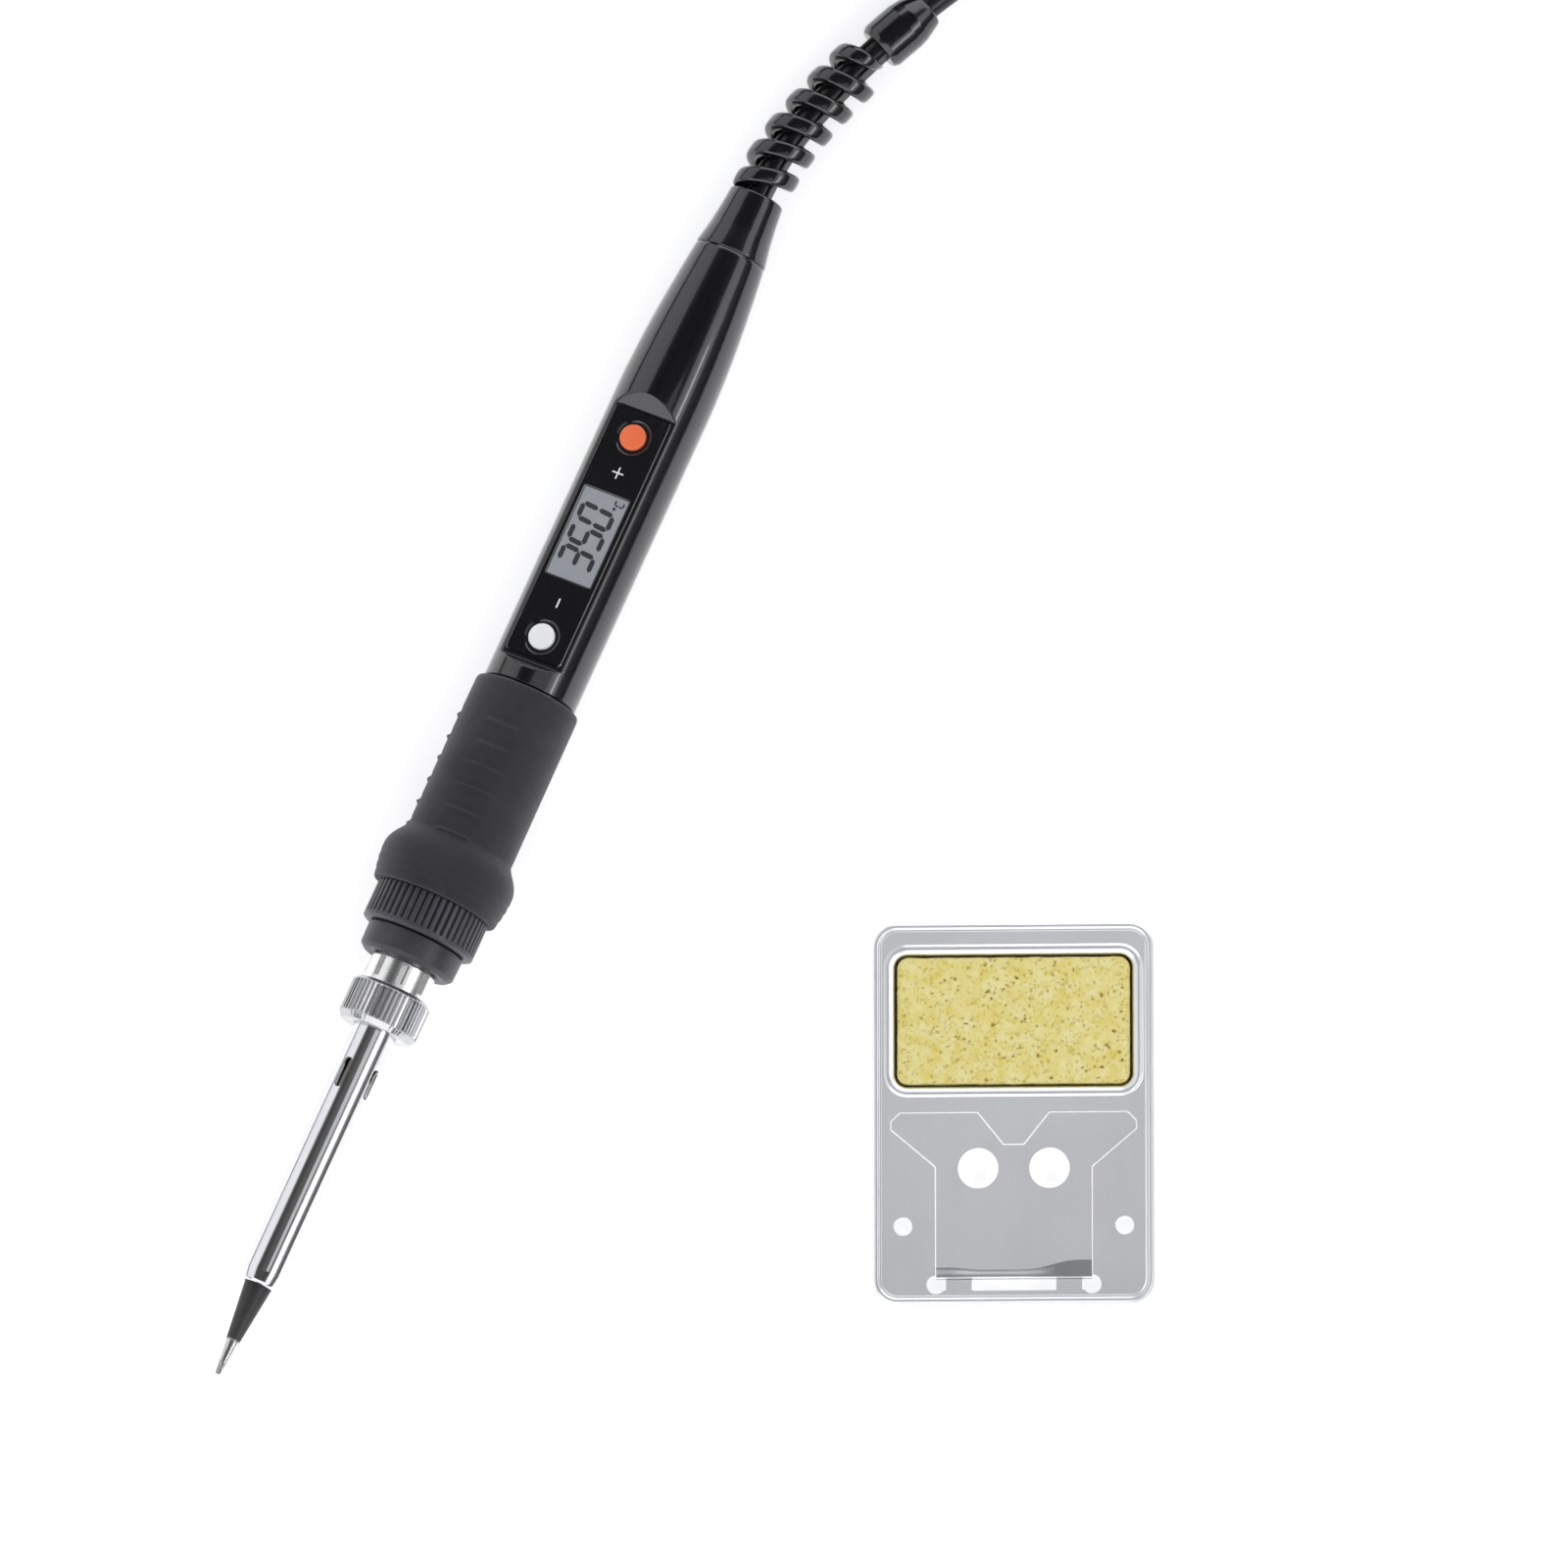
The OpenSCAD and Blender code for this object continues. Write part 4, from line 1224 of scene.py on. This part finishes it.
def makePlate():
    w, l, h, t, c = (stand[k] for k in ("wide", "long", "high", "sheet", "corner"))
    bm = bmesh.new()

    def ringAt(off, z):
        return atHeight(roundedRect(w - 2 * off, l - 2 * off, max(0.3, c - off), 10), z)

    rim = [(0.35, 0.12), (0.1, 0.02), (0, 0.25), (0, 2.0), (0.02, 2.7), (0.1, 3.2), (0.26, 3.68), (0.5, 4.03),
           (0.75, 4.21), (0.98, 4.25), (1.18, 4.18), (1.36, 4.02), (1.5, 3.9), (1.62, 3.86), (1.76, 3.9), (1.88, 3.97),
           (1.98, h)]
    outer = skin(bm, [ringAt(o, z) for o, z in rim], closed=False)

    def wellRing(off, z):
        ww, wl = stand["wellWide"] + 2 * off, stand["wellLong"] + 2 * off
        return atHeight(roundedRect(ww, wl, max(0.3, stand["wellCorner"] + off), 10, 0, stand["wellY"]), z)

    bead = [(2.1, h), (1.95, 4.04), (1.75, 4.2), (1.55, 4.36), (1.35, 4.42), (1.12, 4.37), (0.85, 4.24), (0.55, 4.08),
            (0.3, 3.93), (0.1, 3.78), (0, 3.5), (0, 2.4), (-0.05, 1.75), (-0.3, 1.38), (-0.62, 1.24),
            (-1.0, stand["wellFloor"])]
    well = skin(bm, [wellRing(o, z) for o, z in bead], closed=False)
    fillFlat(bm, [well[-1]])

    cuts = []
    holeR, holeX, holeY = stand["holes"]
    for loop in (openingLoop(), circle(holeR, holeX, holeY, 40), circle(holeR, -holeX, holeY, 40)):
        edge = [atHeight(inset(loop, d), z) for d, z in ((-0.11, h), (-0.03, h - 0.03))]
        rows = skin(bm, [*edge, atHeight(loop, h - 0.11)], closed=False)
        cuts.append(rows[0])
    fillFlat(bm, [outer[-1], well[0], *cuts])
    shape = modified(makeMesh("plate", bm, 40), "SOLIDIFY", thickness=t * mm, offset=-1, use_even_offset=True)
    addPiece("stand_plate", shape, looks["sheet"], "stand", plateAxes, ("base_plate",))

    bm = bmesh.new()
    hy, hz = stand["hinge"]
    inner = stand["roll"] + 0.06
    mid = inner + t / 2
    half = stand["tabWide"] / 2
    path = [(hy - mid, h - t / 2 + 0.1), *(polar(mid, a, hy, hz) for a in range(180, 361, 12))]
    strip = [(-t / 2, -half), (t / 2, -half), (t / 2, half), (-t / 2, half)]
    for x in (-stand["tabX"], stand["tabX"]):
        sweep([(x, y, z) for y, z in path], strip, bm, (1, 0, 0))
    addPiece("stand_hooks", bm, looks["sheet"], "stand", plateAxes)


def makeRest():
    hy, hz = stand["hinge"]
    h, t, roll = stand["high"], stand["sheet"], stand["roll"]
    half = 14.4
    xs = [-half + 2 * half * k / 48 for k in range(49)]

    def bandTop(x):
        # the wavy line where the sheet starts to turn down
        return hy + 1.0 + 0.45 * smoothStep(-6, -12, x) + 1.75 * smoothStep(2, 12, x)

    corners = [(x, bandTop(x) - 0.1, 0) for x in xs]
    corners += [
        (half, -10.0, 0.5), (22.6, -3.0, 0.6), (22.6, -1.6, 0.5), (21.0, 0, 0.6), (6.7, 0, 0.5),
        (1.95, -6.0, 0.5), (-1.95, -6.0, 0.5), (-6.7, 0, 0.5), (-21.0, 0, 0.6), (-22.6, -1.6, 0.5), (-22.6, -3.0, 0.6),
        (-half, -10.0, 0.5),
    ]
    outline = filleted(corners, 4)
    holes = [circle(3.75, x, -10.3, 56) for x in (-6.6, 6.6)]
    bm = plate(outline, holes, h - t, h, 0.06)
    loops = []
    for x in xs:
        top = bandTop(x)
        section = [(top, h), (top - 0.12, h - 0.02)]
        fall = min(0.5, 0.34 * (top - hy + 0.1))
        section += [(top + (hy - 0.1 - top) * k / 4, h - fall * k / 4) for k in (2, 3, 4)]
        z0 = h - fall
        drop = z0 - (hz - roll)
        section += [(hy - 0.1 - roll * 0.85 * math.sin(u), z0 - drop / 2 * (1 - math.cos(u)))
                    for u in (math.pi * k / 8 for k in range(1, 9))]
        section += [(hy + 0.45, hz - roll + 0.05), (hy + 0.7, hz - 0.25), (hy + 0.8, h - t - 0.05), (top, h - t)]
        loops.append([(x, y, z) for y, z in section])
    cappedSkin(bm, loops)
    addPiece("rest_plate", bm, looks["restSheet"], "rest", plateAxes, ("rest_flap",))


def makeSponge():
    low, high = (Vector(p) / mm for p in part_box("sponge"))
    middle = (low + high) / 2
    size = high - low
    bm = bmesh.new()
    steps = [(0.9, 0), (0.35, 0.1), (0.1, 0.4), (0, 0.9), (0, size.z - 0.7), (0.12, size.z - 0.3), (0.4, size.z - 0.08),
             (0.9, size.z)]
    flatEnded(bm, [atHeight(roundedRect(size.x - 2 * o, size.y - 2 * o, 2.05 - o * 0.8), z) for o, z in steps])
    mesh = modified(makeMesh("block", bm, 60), "REMESH", mode="VOXEL", voxel_size=0.24 * mm)

    bm = bmesh.new()
    bm.from_mesh(mesh)
    bm.normal_update()
    # a layer for how deep each point lies in a hollow; the sponge's material paints it as shade
    layer = bm.verts.layers.float.new("pore")
    noise.seed_set(5)  # the noise vectors follow the clock without this
    moved = []
    for v in bm.verts:
        p = v.co / mm
        deep = 0.0
        for scale, reach, depth, share in ((1.7, 0.3, 0.5, 0.62), (1.05, 0.36, 0.4, 0.75), (0.7, 0.4, 0.26, 0.95)):
            warped = p / scale + noise.noise_vector(p * 0.7) * 0.35
            dist, spots = noise.voronoi(warped, distance_metric="DISTANCE", exponent=2.5)
            chance = noise.cell(spots[0] * 7.3)
            if chance * 0.5 + 0.5 < share:
                size01 = 0.6 + 0.4 * noise.cell(spots[0] * 3.1 + Vector((5, 5, 5)))
                deep = max(deep, depth * (1 - smoothStep(reach * size01 * 0.45, reach * size01, dist[0])))
        swell = 0.10 * noise.noise(p * 0.35) + 0.05 * noise.noise(p * 1.3)
        moved.append((v, deep, -deep + swell - 0.12))
    for v, deep, push in moved:
        # stores the hollow's depth for the painted shade in the sponge's colour
        v[layer] = min(1, deep / 0.5)
        v.co += v.normal * (push * mm)
        v.co.z = max(v.co.z, 0)
    bm.to_mesh(mesh)
    bm.free()
    mesh.shade_smooth()
    at = Matrix.Translation(Vector((middle.x, middle.y, low.z)) * mm)
    piece = addPiece("sponge_pad", mesh, looks["sponge"], "sponge_pad", at, ("sponge",))


makePlate()
makeRest()
makeSponge()
print("stand made")


# ---- what shows only when the iron is opened: the frame's own solids, with finishes

for node, look in (("heater_element", "ceramic"), ("heater_holder", "ceramic"), ("circuit_board", "board"),
                   ("tact_switches", "dark"), ("board_parts", "dark"), ("lead_wires", "wire")):
    inside = frame["nodes"][node]
    inside.data.materials.clear()
    inside.data.materials.append(looks[look])


def makeFloor():
    def paint(wire, place):
        cloud = speckle(wire, place, 6.0)
        return {
            "Base Color": cloud.between((0.86, 0.86, 0.86), (0.89, 0.89, 0.89)),
            "Roughness": 0.6 + cloud * 0.1,
            "Emission Color": cloud.between((0.98, 0.98, 0.98), (1.0, 1.0, 1.0)),
        }
    bm = bmesh.new()
    size = 3000
    low = min(0.0, cadBox[0][2] / mm) - 0.02
    square = [(-size, -size), (size, -size), (size, size), (-size, size)]
    rows = skin(bm, [atHeight(square, low - 1), atHeight(square, low)], closed=False)
    bm.faces.new(rows[-1])
    floor = bpy.data.objects.new("floor", makeMesh("floor", bm))
    bpy.context.scene.collection.objects.link(floor)
    floor.data.materials.append(newMaterial("pale floor", {"Emission Strength": 0.55}, paint))


makeFloor()
